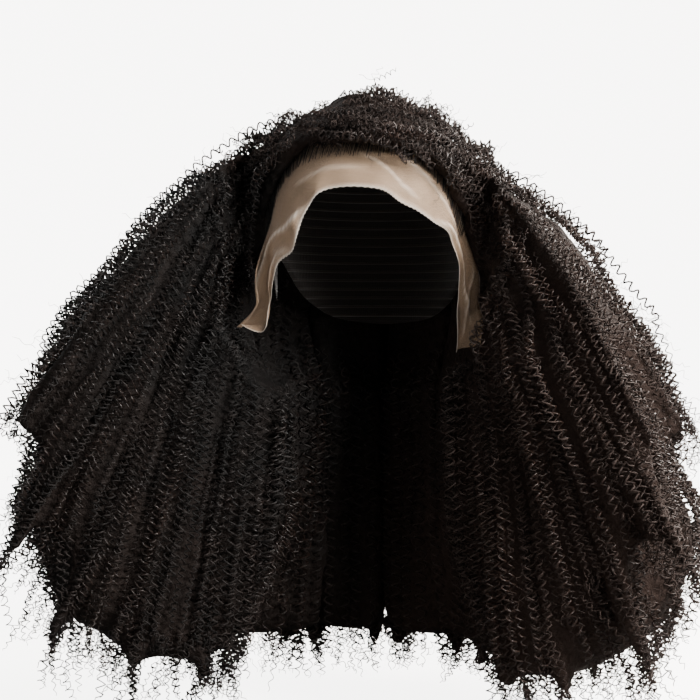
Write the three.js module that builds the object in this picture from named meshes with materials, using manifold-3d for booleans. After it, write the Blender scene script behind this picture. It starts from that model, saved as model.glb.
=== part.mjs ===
// Kinky-curly wig with a lace front, in millimetres, +Z up.
// The origin is the inside of the crown, where the top of the head bears. The face looks along -Y
// and the wearer's left ear is on +X.
// "Turn" is the angle round the head in degrees: 0 at the middle of the forehead, 90 at the
// wearer's left ear, 180 at the nape. "Fall" is how far a place lies below the top of the head.
import * as THREE from 'three';
import { mergeVertices } from 'three/addons/utils/BufferGeometryUtils.js';
import Module from 'manifold-3d';

const wasm = await Module();
wasm.setup();

// Head that the wig fits
const headWidth = 152;
const headFront = 96; // head's axis to the forehead
const headBack = 100; // head's axis to the back of the head
const crownHeight = 95; // top of the head to its widest level
const jawTaper = 190; // how slowly the head narrows below that level

// Cap and lace
const capWall = 1.2;
const capDepth = 172; // top of the head to the cap's nape edge
const laceWall = 1;
const laceDrop = 188; // top of the head to the lowest corner of the lace
const laceFlare = 22; // how far the right-hand flap curls away from the head
const seamGap = 0.4; // cap edge to lace edge, along the sewn seam

// Hair
const hairGap = 0.3; // clearance between sections of hair
const rootSeat = 2; // clearance of the roots over the cap and lace, which are cut in flat facets
const rootMat = 9; // thickness of the tied roots on the cap
const matDepth = 166; // top of the head to the lowest row of roots
const reachRight = 284; // head's axis to the tips beside the wearer's right shoulder
const reachLeft = 258; // the same beside the wearer's left shoulder
const reachBack = 200; // head's axis to the tips behind
const hairDrop = 452; // top of the head to the lowest tips
const frontTrim = 0.07; // how much shorter the hair would be straight ahead of the face, as a share
const lockWidth = 66; // a lock's widest place, round the head
const lockThickness = 58; // the same across the hair
const sweepWidth = 40; // the locks combed over the top from the parting
const sweepThickness = 30;
const sweepStart = 0.45; // a combed lock's size at the parting, as a share of its full size
const sweepGrowth = 2.2; // how fast it grows from there
const sweepFall = 1.5; // how late it turns down: the power of its fall along its run
const reachVariety = 0.04; // how much locks differ in reach and in drop, as shares
const dropVariety = 0.03;
const leftSag = 0.08; // how much lower the wearer's left side bends, as a share of its drop
const lockInset = 0.14; // a section's side to its first lock, as a share of the section
const rootInset = 6; // the same at the front in degrees, where the locks turn forward

// Room left for the wearer's neck and shoulders
const neckWidth = 112;
const shoulderWidth = 226;
const neckBack = 58; // head's axis to the back of the neck
const faceRoom = 330; // head's axis to the front of the space kept clear for the face
const faceRoomDrop = 1.1; // its height, as a share of the hair's drop
const flapRoom = 16; // head to the hair beside the lace's flaps
const flapFall = 0.8; // middle and half-height of that space, as shares of the lace's drop
const flapHeight = 0.4;
const sweepRoom = 30; // roots to the outermost place that the front section may fill

// How finely curves are cut
const capRows = 6;
const matRows = 6;
const stepsPerSpan = 2;
const laceStrips = 4;
const lockSteps = 5;
const lockSides = 5;
const sweepSteps = 8;
const coreColumns = 19;
const roomSides = 16;
const roomRows = 8;

// Where the lace is sewn to the cap, from ear to ear. The first and last rows are the loose flaps.
// turn: degrees; fall: share of the cap's depth; off: share of the flare, clear of the head.
const seamLine = [
  { turn: -84, fall: 1.0, off: 0.55 },
  { turn: -80, fall: 0.87, off: 0 },
  { turn: -74, fall: 0.7, off: 0 },
  { turn: -66, fall: 0.44, off: 0 },
  { turn: -54, fall: 0.22, off: 0 },
  { turn: -36, fall: 0.12, off: 0 },
  { turn: -13, fall: 0.085, off: 0 },
  { turn: 13, fall: 0.085, off: 0 },
  { turn: 36, fall: 0.12, off: 0 },
  { turn: 54, fall: 0.22, off: 0 },
  { turn: 66, fall: 0.44, off: 0 },
  { turn: 74, fall: 0.7, off: 0 },
  { turn: 80, fall: 0.87, off: 0 },
  { turn: 80, fall: 1.06, off: 0.3 },
];

// The lace's free edge on the forehead and temples, row for row with the seam line.
// fall: share of the lace's drop.
const freeEdge = [
  { turn: -76, fall: 0.93, off: 1.0 },
  { turn: -66, fall: 0.91, off: 0.5 },
  { turn: -60, fall: 0.8, off: 0.16 },
  { turn: -55, fall: 0.66, off: 0.06 },
  { turn: -46, fall: 0.5, off: 0.05 },
  { turn: -31, fall: 0.4, off: 0.05 },
  { turn: -11, fall: 0.375, off: 0.03 },
  { turn: 11, fall: 0.375, off: 0.03 },
  { turn: 31, fall: 0.4, off: 0.05 },
  { turn: 44, fall: 0.48, off: 0.05 },
  { turn: 52, fall: 0.62, off: 0.06 },
  { turn: 57, fall: 0.78, off: 0.14 },
  { turn: 60, fall: 0.9, off: 0.2 },
  { turn: 64, fall: 1.0, off: 0.3 },
];

// The cap's lower edge from the left ear tab over the ear to the middle of the nape, and mirrored.
const napeEdge = [
  { turn: 80, fall: 0.87 },
  { turn: 87, fall: 0.82 },
  { turn: 95, fall: 0.66 },
  { turn: 108, fall: 0.7 },
  { turn: 126, fall: 0.85 },
  { turn: 152, fall: 0.97 },
  { turn: 180, fall: 1.0 },
];

// The lowest roots: the hairline on the lace, then the last row above the cap's edge.
// fall: share of the mat's depth.
const hairLine = [
  { turn: 0, fall: 0.228 },
  { turn: 20, fall: 0.235 },
  { turn: 36, fall: 0.275 },
  { turn: 50, fall: 0.38 },
  { turn: 60, fall: 0.54 },
  { turn: 69, fall: 0.71 },
  { turn: 79, fall: 0.82 },
  { turn: 94, fall: 0.66 },
  { turn: 108, fall: 0.69 },
  { turn: 126, fall: 0.84 },
  { turn: 152, fall: 0.96 },
  { turn: 180, fall: 1.0 },
];

// Layers of locks from the crown down, in each section of hair.
// root: share of the way from the crown to the lowest roots; shoulder and sag: where the lock bends,
// as shares of its run outwards and of its drop; reach and drop: its tip, as shares of the
// reach and of the hair's drop; locks: how many side by side; bulk: share of the full thickness.
const layers = [
  { root: 0.08, shoulder: 0.4, sag: 0.15, reach: 1.0, drop: 0.56, locks: 3, bulk: 0.86 },
  { root: 0.3, shoulder: 0.4, sag: 0.18, reach: 1.0, drop: 0.735, locks: 3, bulk: 1.0 },
  { root: 0.5, shoulder: 0.4, sag: 0.2, reach: 0.9, drop: 0.885, locks: 2, bulk: 1.1 },
  { root: 0.7, shoulder: 0.42, sag: 0.22, reach: 0.71, drop: 0.97, locks: 2, bulk: 1.05 },
  { root: 0.88, shoulder: 0.5, sag: 0.24, reach: 0.5, drop: 1.0, locks: 2, bulk: 0.9 },
];

// How a lock's section grows from root to tip, as shares of its full width and thickness.
const lockForm = [
  { along: 0, size: 0.26 },
  { along: 0.2, size: 0.55 },
  { along: 0.45, size: 0.82 },
  { along: 0.7, size: 1.0 },
  { along: 0.87, size: 0.84 },
  { along: 1, size: 0.42 },
];

// Sections of hair round the head, between these turns.
const sections = [
  { name: 'hair_left_temple', from: 64, to: 102, lockFrom: 55 },
  { name: 'hair_left_side', from: 102, to: 141 },
  { name: 'hair_left_back', from: 141, to: 180 },
  { name: 'hair_right_back', from: 180, to: 219 },
  { name: 'hair_right_side', from: 219, to: 258 },
  { name: 'hair_right_temple', from: 258, to: 296, lockTo: 305 },
];
// The body of the hair under the locks, row by row from the crown to its underside.
// layer: a row of the layers; along: share of that layer's line, root to tip.
const coreRows = [
  { layer: 0, along: 0 },
  { layer: 0, along: 0.25 },
  { layer: 0, along: 0.5 },
  { layer: 0, along: 0.75 },
  { layer: 0, along: 0.96 },
  { layer: 1, along: 0.97 },
  { layer: 2, along: 0.97 },
  { layer: 3, along: 0.96 },
  { layer: 4, along: 0.93 },
];
const coreFrom = 56;
const coreTo = 304;
const coreEnds = [0.82, 0.97]; // share of the reach in the body's first and last columns
const coreInside = 30; // head's axis to the body's inner skin, all of which is cut away

const frontFrom = -64;
const frontTo = 64;

// Locks combed over the front of the head from the parting, which lies over the right eye.
// Each runs from one turn and fall to another; lift is its middle's height over the roots,
// as a share of its thickness.
const sweeps = [
  { fromTurn: -30, fromFall: 0.19, toTurn: 66, toFall: 0.46, lift: 0.1 },
  { fromTurn: -34, fromFall: 0.12, toTurn: 66, toFall: 0.3, lift: 0.3 },
  { fromTurn: -44, fromFall: 0.06, toTurn: 66, toFall: 0.16, lift: 0.3 },
  { fromTurn: -28, fromFall: 0.2, toTurn: -66, toFall: 0.46, lift: 0.0 },
  { fromTurn: -36, fromFall: 0.12, toTurn: -66, toFall: 0.28, lift: 0.1 },
];

// Room for neck and shoulders below the head: half-width as a share of its way from neck to
// shoulders, at a fall given as a share of the hair's drop.
const neckForm = [
  { fall: 0.5, spread: 0 },
  { fall: 0.72, spread: 0.12 },
  { fall: 0.87, spread: 0.78 },
  { fall: 1.12, spread: 1.0 },
];

const blackHair = new THREE.MeshStandardMaterial({ color: 0x120d0b, roughness: 0.55, metalness: 0 });
const blackNet = new THREE.MeshStandardMaterial({ color: 0x191513, roughness: 0.85, metalness: 0 });
const nudeLace = new THREE.MeshStandardMaterial({ color: 0xd9b896, roughness: 0.7, metalness: 0 });

const radians = THREE.MathUtils.degToRad;
const nudge = 0.01;
const rootLift = capWall + rootSeat;

// Distance from the head's axis to its surface at the widest level.
function headRadius(turn) {
  const across = Math.sin(radians(turn)) / (headWidth / 2);
  const cos = Math.cos(radians(turn));
  const along = cos / (cos > 0 ? headFront : headBack);
  return 1 / Math.hypot(across, along);
}

// A place on the head, moved outwards by lift.
function onHead(turn, fall, lift) {
  const above = fall < crownHeight;
  const share = (crownHeight - fall) / (above ? crownHeight : jawTaper);
  const radius = (headRadius(turn) + lift) * Math.sqrt(Math.max(0, 1 - share * share));
  const height = above ? (crownHeight + lift) * share - crownHeight : -fall;
  return new THREE.Vector3(
    radius * Math.sin(radians(turn)),
    -radius * Math.cos(radians(turn)),
    height,
  );
}

// A smooth line through a table's rows, each made a point by toPoint.
function lineThrough(table, toPoint) {
  return new THREE.CatmullRomCurve3(table.map(toPoint), false, 'centripetal');
}

// A column of a table, read between its rows.
function readTable(table, key, at, column) {
  const next = table.findIndex((row) => row[key] >= at);
  if (next <= 0) return table.at(next)[column];
  const [a, b] = [table[next - 1], table[next]];
  return THREE.MathUtils.mapLinear(at, a[key], b[key], a[column], b[column]);
}

// The same table with its rows mirrored to the other side of the head, in order of turn.
function bothSides(table) {
  const mirrored = table.filter((row) => row.turn > 0 && row.turn < 180);
  return [...table, ...mirrored.reverse().map((row) => ({ ...row, turn: 360 - row.turn }))];
}

// A closed solid from a grid of places: skin(i, j, side) gives the outer (1) or inner (0) skin.
// A grid that is round joins its last column to its first, and one that is domed has its
// first row drawn together at the crown.
function wallSolid(columns, rows, skin, { round = false, domed = false } = {}) {
  const corners = [];
  const add = (...points) => corners.push(...points);
  const quad = (a, b, c, d) => add(a, b, c, a, c, d);
  const at = (i, j, side) => skin(round ? i % columns : i, j, side);
  const lastColumn = round ? columns : columns - 1;
  for (let i = 0; i < lastColumn; i++) {
    for (let j = 0; j < rows - 1; j++) {
      if (domed && j === 0) {
        add(at(i, 0, 1), at(i, 1, 1), at(i + 1, 1, 1));
        add(at(i, 0, 0), at(i + 1, 1, 0), at(i, 1, 0));
      } else {
        quad(at(i, j, 1), at(i, j + 1, 1), at(i + 1, j + 1, 1), at(i + 1, j, 1));
        quad(at(i, j, 0), at(i + 1, j, 0), at(i + 1, j + 1, 0), at(i, j + 1, 0));
      }
    }
    const last = rows - 1;
    quad(at(i, last, 1), at(i, last, 0), at(i + 1, last, 0), at(i + 1, last, 1));
    if (!domed) quad(at(i, 0, 0), at(i, 0, 1), at(i + 1, 0, 1), at(i + 1, 0, 0));
  }
  for (let j = 0; j < rows - 1 && !round; j++) {
    const end = columns - 1;
    quad(at(0, j, 1), at(0, j, 0), at(0, j + 1, 0), at(0, j + 1, 1));
    quad(at(end, j, 0), at(end, j, 1), at(end, j + 1, 1), at(end, j + 1, 0));
  }
  return solidOf(new THREE.BufferGeometry().setFromPoints(corners));
}

// A closed tube of oval section round a line of stations: { centre, wide, thick, across, up }.
function lockSolid(stations) {
  const corners = [];
  const ringPoint = (station, side) => {
    const angle = (side / lockSides) * 2 * Math.PI;
    return station.centre
      .clone()
      .addScaledVector(station.across, Math.cos(angle) * station.wide)
      .addScaledVector(station.up, Math.sin(angle) * station.thick);
  };
  const rings = stations.map((station) =>
    Array.from({ length: lockSides }, (_, side) => ringPoint(station, side)),
  );
  const end = stations.at(-1);
  const tip = end.centre.clone().addScaledVector(end.across.clone().cross(end.up), end.thick);
  for (let side = 0; side < lockSides; side++) {
    const next = (side + 1) % lockSides;
    for (let k = 0; k < rings.length - 1; k++) {
      const [a, b] = [rings[k], rings[k + 1]];
      corners.push(a[side], a[next], b[next], a[side], b[next], b[side]);
    }
    const [first, last] = [rings[0], rings.at(-1)];
    corners.push(stations[0].centre, first[next], first[side]);
    corners.push(tip, last[side], last[next]);
  }
  return solidOf(new THREE.BufferGeometry().setFromPoints(corners));
}

// A closed three.js geometry as a manifold solid.
function solidOf(geometry) {
  const bare = geometry.index ? geometry.toNonIndexed() : geometry.clone();
  bare.deleteAttribute('normal');
  bare.deleteAttribute('uv');
  const merged = mergeVertices(bare, 1e-4);
  return new wasm.Manifold(
    new wasm.Mesh({
      numProp: 3,
      vertProperties: merged.attributes.position.array,
      triVerts: new Uint32Array(merged.index.array),
    }),
  );
}

// A manifold solid as a named mesh.
function meshOf(solid, name, material) {
  const { vertProperties, triVerts, numProp } = solid.getMesh();
  const geometry = new THREE.BufferGeometry();
  const positions = new THREE.InterleavedBuffer(vertProperties, numProp);
  geometry.setAttribute('position', new THREE.InterleavedBufferAttribute(positions, 3, 0));
  geometry.setIndex(new THREE.BufferAttribute(triVerts, 1));
  const mesh = new THREE.Mesh(geometry.toNonIndexed(), material);
  mesh.geometry.computeVertexNormals();
  mesh.name = name;
  return mesh;
}

const seamCurve = lineThrough(
  seamLine,
  (row) => new THREE.Vector3(row.turn, row.fall * capDepth, row.off * laceFlare),
);
const seamSpans = seamLine.length - 1;

// The cap's edge: the sewn seam over the front, then over the ears and round the nape.
function capEdge() {
  const sewn = Array.from({ length: (seamSpans - 2) * stepsPerSpan + 1 }, (_, k) => {
    const place = seamCurve.getPoint((1 + k / stepsPerSpan) / seamSpans);
    return { turn: place.x, fall: place.y };
  });
  const nape = bothSides(napeEdge);
  const napeCurve = lineThrough(nape, (row) => new THREE.Vector3(row.turn, row.fall * capDepth, 0));
  const free = Array.from({ length: (nape.length - 1) * stepsPerSpan - 1 }, (_, k) => {
    const place = napeCurve.getPoint((k + 1) / ((nape.length - 1) * stepsPerSpan));
    return { turn: place.x, fall: place.y };
  });
  return [...sewn, ...free];
}

// A dome over the head whose lower edge is a ring of { turn, fall }.
function domeSolid(edge, innerLift, outerLift, rows) {
  const skin = (i, j, side) => {
    const share = 1 - Math.cos(((j / (rows - 1)) * Math.PI) / 2);
    return onHead(edge[i].turn, edge[i].fall * share, side ? outerLift : innerLift);
  };
  return wallSolid(edge.length, rows, skin, { round: true, domed: true });
}

// The lace band from the sewn seam to the free edge, ear to ear.
function laceSolid() {
  const edgeCurve = lineThrough(
    freeEdge,
    (row) => new THREE.Vector3(row.turn, row.fall * laceDrop, row.off * laceFlare),
  );
  const columns = seamSpans * stepsPerSpan + 1;
  const skin = (i, j, side) => {
    const along = i / (columns - 1);
    const sewn = seamCurve.getPoint(along);
    const clear = THREE.MathUtils.radToDeg(seamGap / headRadius(sewn.x));
    const start = sewn.clone().add(new THREE.Vector3(-Math.sign(sewn.x) * clear, seamGap, 0));
    const place = start.lerp(edgeCurve.getPoint(along), j / laceStrips);
    return onHead(place.x, place.y, place.z + (side ? laceWall : 0));
  };
  return wallSolid(columns, laceStrips + 1, skin);
}

// The mat of tied roots that covers cap and lace down to the hairline.
function rootMatSolid() {
  const rows = bothSides(hairLine);
  const ring = [...rows, { ...rows[0], turn: 360 }];
  const curve = lineThrough(ring, (row) => new THREE.Vector3(row.turn, row.fall * matDepth, 0));
  const columns = rows.length * stepsPerSpan;
  const edge = Array.from({ length: columns }, (_, k) => {
    const place = curve.getPoint(k / columns);
    return { turn: place.x, fall: place.y };
  });
  return domeSolid(edge, rootLift, rootLift + rootMat, matRows);
}

// Everything that stays clear of hair: the head with the cap on, the neck and the shoulders.
function bodyRoomSolid() {
  const lift = rootLift + rootMat / 4;
  const rows = [];
  for (let k = 1; k <= roomRows; k++) {
    const fall = capDepth * (1 - Math.cos((k / roomRows) * (Math.PI / 2)));
    rows.push((angle) => onHead(angle, fall, lift));
  }
  for (const row of neckForm) {
    const half = THREE.MathUtils.lerp(neckWidth, shoulderWidth, row.spread) / 2;
    rows.push((angle) => {
      const cos = Math.cos(radians(angle));
      return new THREE.Vector3(
        half * Math.sin(radians(angle)),
        -cos * (cos > 0 ? headFront : neckBack),
        -row.fall * hairDrop,
      );
    });
  }
  const corners = [];
  const top = new THREE.Vector3(0, 0, lift);
  const bottom = new THREE.Vector3(0, 0, -neckForm.at(-1).fall * hairDrop);
  for (let side = 0; side < roomSides; side++) {
    const [a, b] = [(side / roomSides) * 360, ((side + 1) / roomSides) * 360];
    corners.push(top, rows[0](a), rows[0](b));
    for (let k = 0; k < rows.length - 1; k++) {
      corners.push(rows[k](a), rows[k + 1](a), rows[k + 1](b));
      corners.push(rows[k](a), rows[k + 1](b), rows[k](b));
    }
    corners.push(bottom, rows.at(-1)(b), rows.at(-1)(a));
  }
  return solidOf(new THREE.BufferGeometry().setFromPoints(corners));
}

// The space kept open before the face and neck.
function faceRoomSolid() {
  const height = hairDrop * faceRoomDrop;
  const room = new THREE.BoxGeometry(neckWidth, faceRoom, height);
  room.translate(0, -faceRoom / 2, -height / 2 - crownHeight);
  return solidOf(room);
}

// A rounded space of its own half-sizes about a centre.
function roundRoom(centre, halfSizes) {
  const room = new THREE.SphereGeometry(1, roomSides, roomSides / 2);
  room.rotateX(Math.PI / 2);
  room.scale(...halfSizes);
  room.translate(...centre);
  return solidOf(room);
}

// The space round the ears and the lace's loose flaps.
function flapRoomSolid() {
  const half = headWidth / 2 + flapRoom + laceFlare / 2;
  const centre = [-laceFlare / 2, -flapRoom, -laceDrop * flapFall];
  return roundRoom(centre, [half, half, laceDrop * flapHeight]);
}

// The space over the forehead that only the front section fills.
function frontDomeSolid() {
  const lift = rootLift + rootMat + sweepRoom;
  const halfSizes = [headWidth / 2, headFront, crownHeight].map((size) => size + lift);
  return roundRoom([0, 0, -crownHeight], halfSizes);
}

// A wedge of space round the head's axis between two turns, drawn in by a clearance at each side.
function wedgeSolid(from, to, clearance = hairGap / 2) {
  const [far, tall] = [4 * reachRight, 4 * hairDrop];
  const outline = new THREE.Shape();
  const middle = radians((from + to) / 2);
  const half = radians((to - from) / 2);
  const set = clearance / Math.sin(half);
  const toPlan = (turn, radius) => [
    set * Math.sin(middle) + radius * Math.sin(turn),
    -set * Math.cos(middle) - radius * Math.cos(turn),
  ];
  outline.moveTo(...toPlan(0, 0));
  outline.lineTo(...toPlan(middle - half, far));
  outline.lineTo(...toPlan(middle, far / Math.cos(half)));
  outline.lineTo(...toPlan(middle + half, far));
  const wedge = new THREE.ExtrudeGeometry(outline, { depth: tall, bevelEnabled: false });
  wedge.translate(0, 0, -tall * 0.75);
  return solidOf(wedge);
}

// How far the tips reach from the head's axis at a turn.
function reachAt(turn) {
  const side = turn > 180 ? reachRight : reachLeft;
  const behind = Math.max(0, -Math.cos(radians(turn)));
  return THREE.MathUtils.lerp(side, reachBack, behind * behind);
}

// The level direction away from the head's axis at a turn.
function outwards(turn) {
  return new THREE.Vector3(Math.sin(radians(turn)), -Math.cos(radians(turn)), 0);
}

// A small, fixed unevenness between -1 and 1, so that no two locks are alike.
function unevenness(number) {
  return Math.sin(number * 12.9898) * Math.cos(number * 4.1414);
}

// The line that a layer of hair follows at a turn, from its roots outwards and down to its tips.
function fallLine(turn, layer, reachScale = 1, dropScale = 1) {
  const trim = 1 - frontTrim * Math.max(0, Math.cos(radians(turn)));
  const reach = reachAt(turn) * layer.reach * reachScale * trim;
  const drop = hairDrop * layer.drop * dropScale * trim;
  const rootTurn = THREE.MathUtils.clamp(turn, frontTo + rootInset, 360 + frontFrom - rootInset);
  const rootFall = layer.root * readTable(bothSides(hairLine), 'turn', rootTurn, 'fall') * matDepth;
  const root = onHead(rootTurn, rootFall, rootLift + rootMat / 2);
  const out = outwards(turn);
  const bendReach = THREE.MathUtils.lerp(Math.hypot(root.x, root.y), reach, layer.shoulder);
  const bend = out.clone().multiplyScalar(bendReach);
  bend.z = THREE.MathUtils.lerp(root.z, -drop, layer.sag + leftSag * Math.max(0, out.x));
  return new THREE.QuadraticBezierCurve3(root, bend, out.clone().multiplyScalar(reach).setZ(-drop));
}

// The body of the hair under its locks: it runs out along the top layer, down past the tips of the
// others, and its inner skin lies in the room that is cut for the head and shoulders.
function coreSolid() {
  const skin = (i, j, side) => {
    const fromEnd = Math.min(i, coreColumns - 1 - i);
    const turn = THREE.MathUtils.lerp(coreFrom, coreTo, i / (coreColumns - 1));
    const { layer, along } = coreRows[j];
    const outer = fallLine(turn, layers[layer], coreEnds[fromEnd] ?? 1).getPoint(along);
    return side ? outer : outwards(turn).multiplyScalar(coreInside).setZ(outer.z);
  };
  return wallSolid(coreColumns, coreRows.length, skin);
}

// A lock that leaves the roots at one turn and falls outwards to its tip.
function fallingLock(turn, layer, number) {
  const reachScale = 1 + reachVariety * unevenness(number);
  const dropScale = 1 - dropVariety * Math.abs(unevenness(-number));
  const line = fallLine(turn, layer, reachScale, dropScale);
  const out = outwards(turn);
  const across = new THREE.Vector3(-out.y, out.x, 0);
  const stations = Array.from({ length: lockSteps + 1 }, (_, k) => {
    const along = k / lockSteps;
    const size = readTable(lockForm, 'along', along, 'size') / 2;
    const up = line.getTangent(along).cross(across).normalize();
    return {
      centre: line.getPoint(along),
      wide: lockWidth * size,
      thick: lockThickness * layer.bulk * size,
      across,
      up,
    };
  });
  return lockSolid(stations);
}

// A lock combed over the front of the head, lying on the roots. Its direction at a station is
// taken between two places a nudge apart along it.
function sweptLock(sweep) {
  const base = rootLift + rootMat;
  const place = (along) => {
    const lift = base + sweep.lift * sweepThickness * Math.sin(along * Math.PI);
    const turn = THREE.MathUtils.lerp(sweep.fromTurn, sweep.toTurn, along);
    const fall = THREE.MathUtils.lerp(sweep.fromFall, sweep.toFall, along ** sweepFall) * capDepth;
    return { turn, fall, lift };
  };
  const point = ({ turn, fall, lift }) => onHead(turn, fall, lift);
  const stations = Array.from({ length: sweepSteps + 1 }, (_, k) => {
    const along = k / sweepSteps;
    const here = place(along);
    const behind = point(place(Math.max(0, along - nudge)));
    const ahead = point(place(along + nudge)).sub(behind).normalize();
    const up = point({ ...here, lift: here.lift + 1 }).sub(point(here)).normalize();
    const size = Math.min(1, sweepStart + along * sweepGrowth);
    return {
      centre: point(here),
      wide: (sweepWidth / 2) * size,
      thick: (sweepThickness / 2) * size,
      across: up.clone().cross(ahead).normalize(),
      up,
    };
  });
  return lockSolid(stations);
}

// All the solids as one.
function joined(solids) {
  return solids.reduce((sum, solid) => sum.add(solid));
}

const rootMatWhole = rootMatSolid();
const core = coreSolid();
const clearRoom = joined([bodyRoomSolid(), faceRoomSolid(), flapRoomSolid()]);
const frontRoom = wedgeSolid(frontFrom, frontTo, -hairGap / 2).intersect(frontDomeSolid());

// Locks trimmed to the room round the head and body, fused to the roots between two turns. The
// locks themselves may fill the wider span between lockFrom and lockTo.
function rooted(locks, { from, to, lockFrom = from, lockTo = to }) {
  const trimmed = joined(locks).subtract(clearRoom).intersect(wedgeSolid(lockFrom, lockTo));
  return trimmed.add(rootMatWhole.intersect(wedgeSolid(from, to)));
}

function hairSection(section, number) {
  const { from, to, lockFrom = from, lockTo = to } = section;
  const locks = layers.flatMap((layer, row) => {
    const inset = lockInset * (to - from);
    const [first, last] = [lockFrom + inset, lockTo - inset];
    const step = (last - first) / (layer.locks - 1);
    const numbered = (number * layers.length + row) * layers[0].locks;
    return Array.from({ length: layer.locks }, (_, k) =>
      fallingLock(first + step * k, layer, numbered + k),
    );
  });
  return rooted([core, ...locks].map((lock) => lock.subtract(frontRoom)), section);
}

const frontSection = rooted(sweeps.map(sweptLock), { from: frontFrom, to: frontTo }).intersect(
  frontDomeSolid(),
);

const wig = new THREE.Group();
wig.add(meshOf(domeSolid(capEdge(), 0, capWall, capRows), 'cap_net', blackNet));
wig.add(meshOf(laceSolid(), 'lace_front', nudeLace));
wig.add(meshOf(frontSection, 'hair_front_sweep', blackHair));
sections.forEach((section, number) => {
  wig.add(meshOf(hairSection(section, number), section.name, blackHair));
});

export default wig;
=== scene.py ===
"""Kinky-curly wig with a lace front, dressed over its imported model.

Metres, +Z up. The origin is the inside of the crown, the face looks along -Y and the wearer's left
ear is on +X. "Turn" is the angle round the head in degrees: 0 at the forehead, 90 at the wearer's
left ear, 180 at the nape. "Fall" is how far a place lies below the top of the head.
"""

import functools
import math

import bmesh
import bpy
import numpy as np
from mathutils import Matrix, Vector, noise
from mathutils.bvhtree import BVHTree


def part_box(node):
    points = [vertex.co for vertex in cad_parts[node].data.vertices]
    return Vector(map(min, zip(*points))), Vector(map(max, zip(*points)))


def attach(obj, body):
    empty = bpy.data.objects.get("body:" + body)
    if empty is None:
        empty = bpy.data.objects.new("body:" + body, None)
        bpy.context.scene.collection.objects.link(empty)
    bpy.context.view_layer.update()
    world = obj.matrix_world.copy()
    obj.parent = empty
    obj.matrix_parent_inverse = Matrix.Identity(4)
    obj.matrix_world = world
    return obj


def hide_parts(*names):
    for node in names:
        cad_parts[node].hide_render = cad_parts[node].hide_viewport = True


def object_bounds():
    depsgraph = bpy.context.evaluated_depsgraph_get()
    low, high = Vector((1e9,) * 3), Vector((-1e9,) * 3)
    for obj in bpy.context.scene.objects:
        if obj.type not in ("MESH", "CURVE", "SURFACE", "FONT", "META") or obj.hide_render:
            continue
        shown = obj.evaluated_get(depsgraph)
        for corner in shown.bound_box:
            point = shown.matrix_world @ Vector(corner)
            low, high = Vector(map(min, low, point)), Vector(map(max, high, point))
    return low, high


bl_info = {
    "name": "Kinky-Curly Lace-Front Wig",
    "version": (1, 0, 0),
    "blender": (4, 5, 0),
    "location": "3D View > Sidebar > Wig",
    "description": "Coiled hair, net cap and sheer lace front over the wig's packed model",
    "category": "Object",
}

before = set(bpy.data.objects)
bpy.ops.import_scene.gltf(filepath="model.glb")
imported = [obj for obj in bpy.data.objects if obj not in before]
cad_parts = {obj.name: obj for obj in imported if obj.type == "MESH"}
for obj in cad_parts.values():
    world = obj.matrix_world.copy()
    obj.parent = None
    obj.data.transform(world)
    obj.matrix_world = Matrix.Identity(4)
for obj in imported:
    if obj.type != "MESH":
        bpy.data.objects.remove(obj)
CAD_BOX = [list(corner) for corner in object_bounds()]
BODY = "root"
HAIR_NODES = sorted(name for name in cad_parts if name.startswith("hair_"))
FRONT_NODE = "hair_front_sweep"

# The head that the wig fits, read off the net cap, whose wall is outside it
CAP_WALL = 0.0012
CAP_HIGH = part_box("cap_net")[1]
HEAD_SIDE = CAP_HIGH.x - CAP_WALL
HEAD_BACK = CAP_HIGH.y - CAP_WALL
HEAD_FRONT = 0.096
CROWN_HEIGHT = 0.095
JAW_TAPER = 0.19
CAP_DEPTH = 0.172
LACE_DROP = 0.188
LACE_FLARE = 0.022
LACE_WALL = 0.001
LACE_STAND = 0.015
HAIR_MIDDLE = Vector((0, 0.01, -0.09))
HEAD_MIDDLE = Vector((0, 0, -CROWN_HEIGHT))
PARTING_TURN = -33

# How much of its paleness the studio paper throws back on the hair
PAPER_BOUNCE = 0.3

# How far coils and frizz may stand past the model's own box
PROUD = 0.017

# Between two places along a row or a curl
STEP = 0.005

# The round outline that loose hair fills at the low ends: half its width, its middle and its drop
OUTLINE_SIDE = 0.285
OUTLINE_MIDDLE = -0.1
OUTLINE_DROP = 0.36
MOST_FILLED = 0.045

# Voxels of the skin of all the hair and of the dense body of one section
SKIN_VOXEL = 0.006
MASS_VOXEL = 0.0085

# Roughness of coils in the valleys between locks
VALLEY_ROUGHNESS = 0.8

# Size of the lace in its own texture space, and meshes of its net for each unit of that
WEAVE_SIZE = (0.34, 0.06)
NET_SCALE = 2600

# The seam from cap to lace, from ear to ear: turn, share of the cap's depth, share of the flare
SEAM = [
    (-84, 1.0, 0.55),
    (-80, 0.87, 0),
    (-74, 0.7, 0),
    (-66, 0.44, 0),
    (-54, 0.22, 0),
    (-36, 0.12, 0),
    (-13, 0.085, 0),
    (13, 0.085, 0),
    (36, 0.12, 0),
    (54, 0.22, 0),
    (66, 0.44, 0),
    (74, 0.7, 0),
    (80, 0.87, 0),
    (80, 1.06, 0.3),
]

# The lace's free edge, row for row with the seam: turn, share of the lace's drop, share of the flare
FREE_EDGE = [
    (-80, 0.9, 1.5),
    (-74, 0.93, 0.7),
    (-66, 0.8, 0.2),
    (-46, 0.67, 0.1),
    (-30, 0.6, 0.06),
    (-23, 0.48, 0.04),
    (-12, 0.38, 0.03),
    (11, 0.38, 0.03),
    (22, 0.43, 0.04),
    (38, 0.49, 0.05),
    (52, 0.55, 0.08),
    (62, 0.67, 0.14),
    (64, 0.84, 0.2),
    (70, 1.01, 0.35),
]

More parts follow.
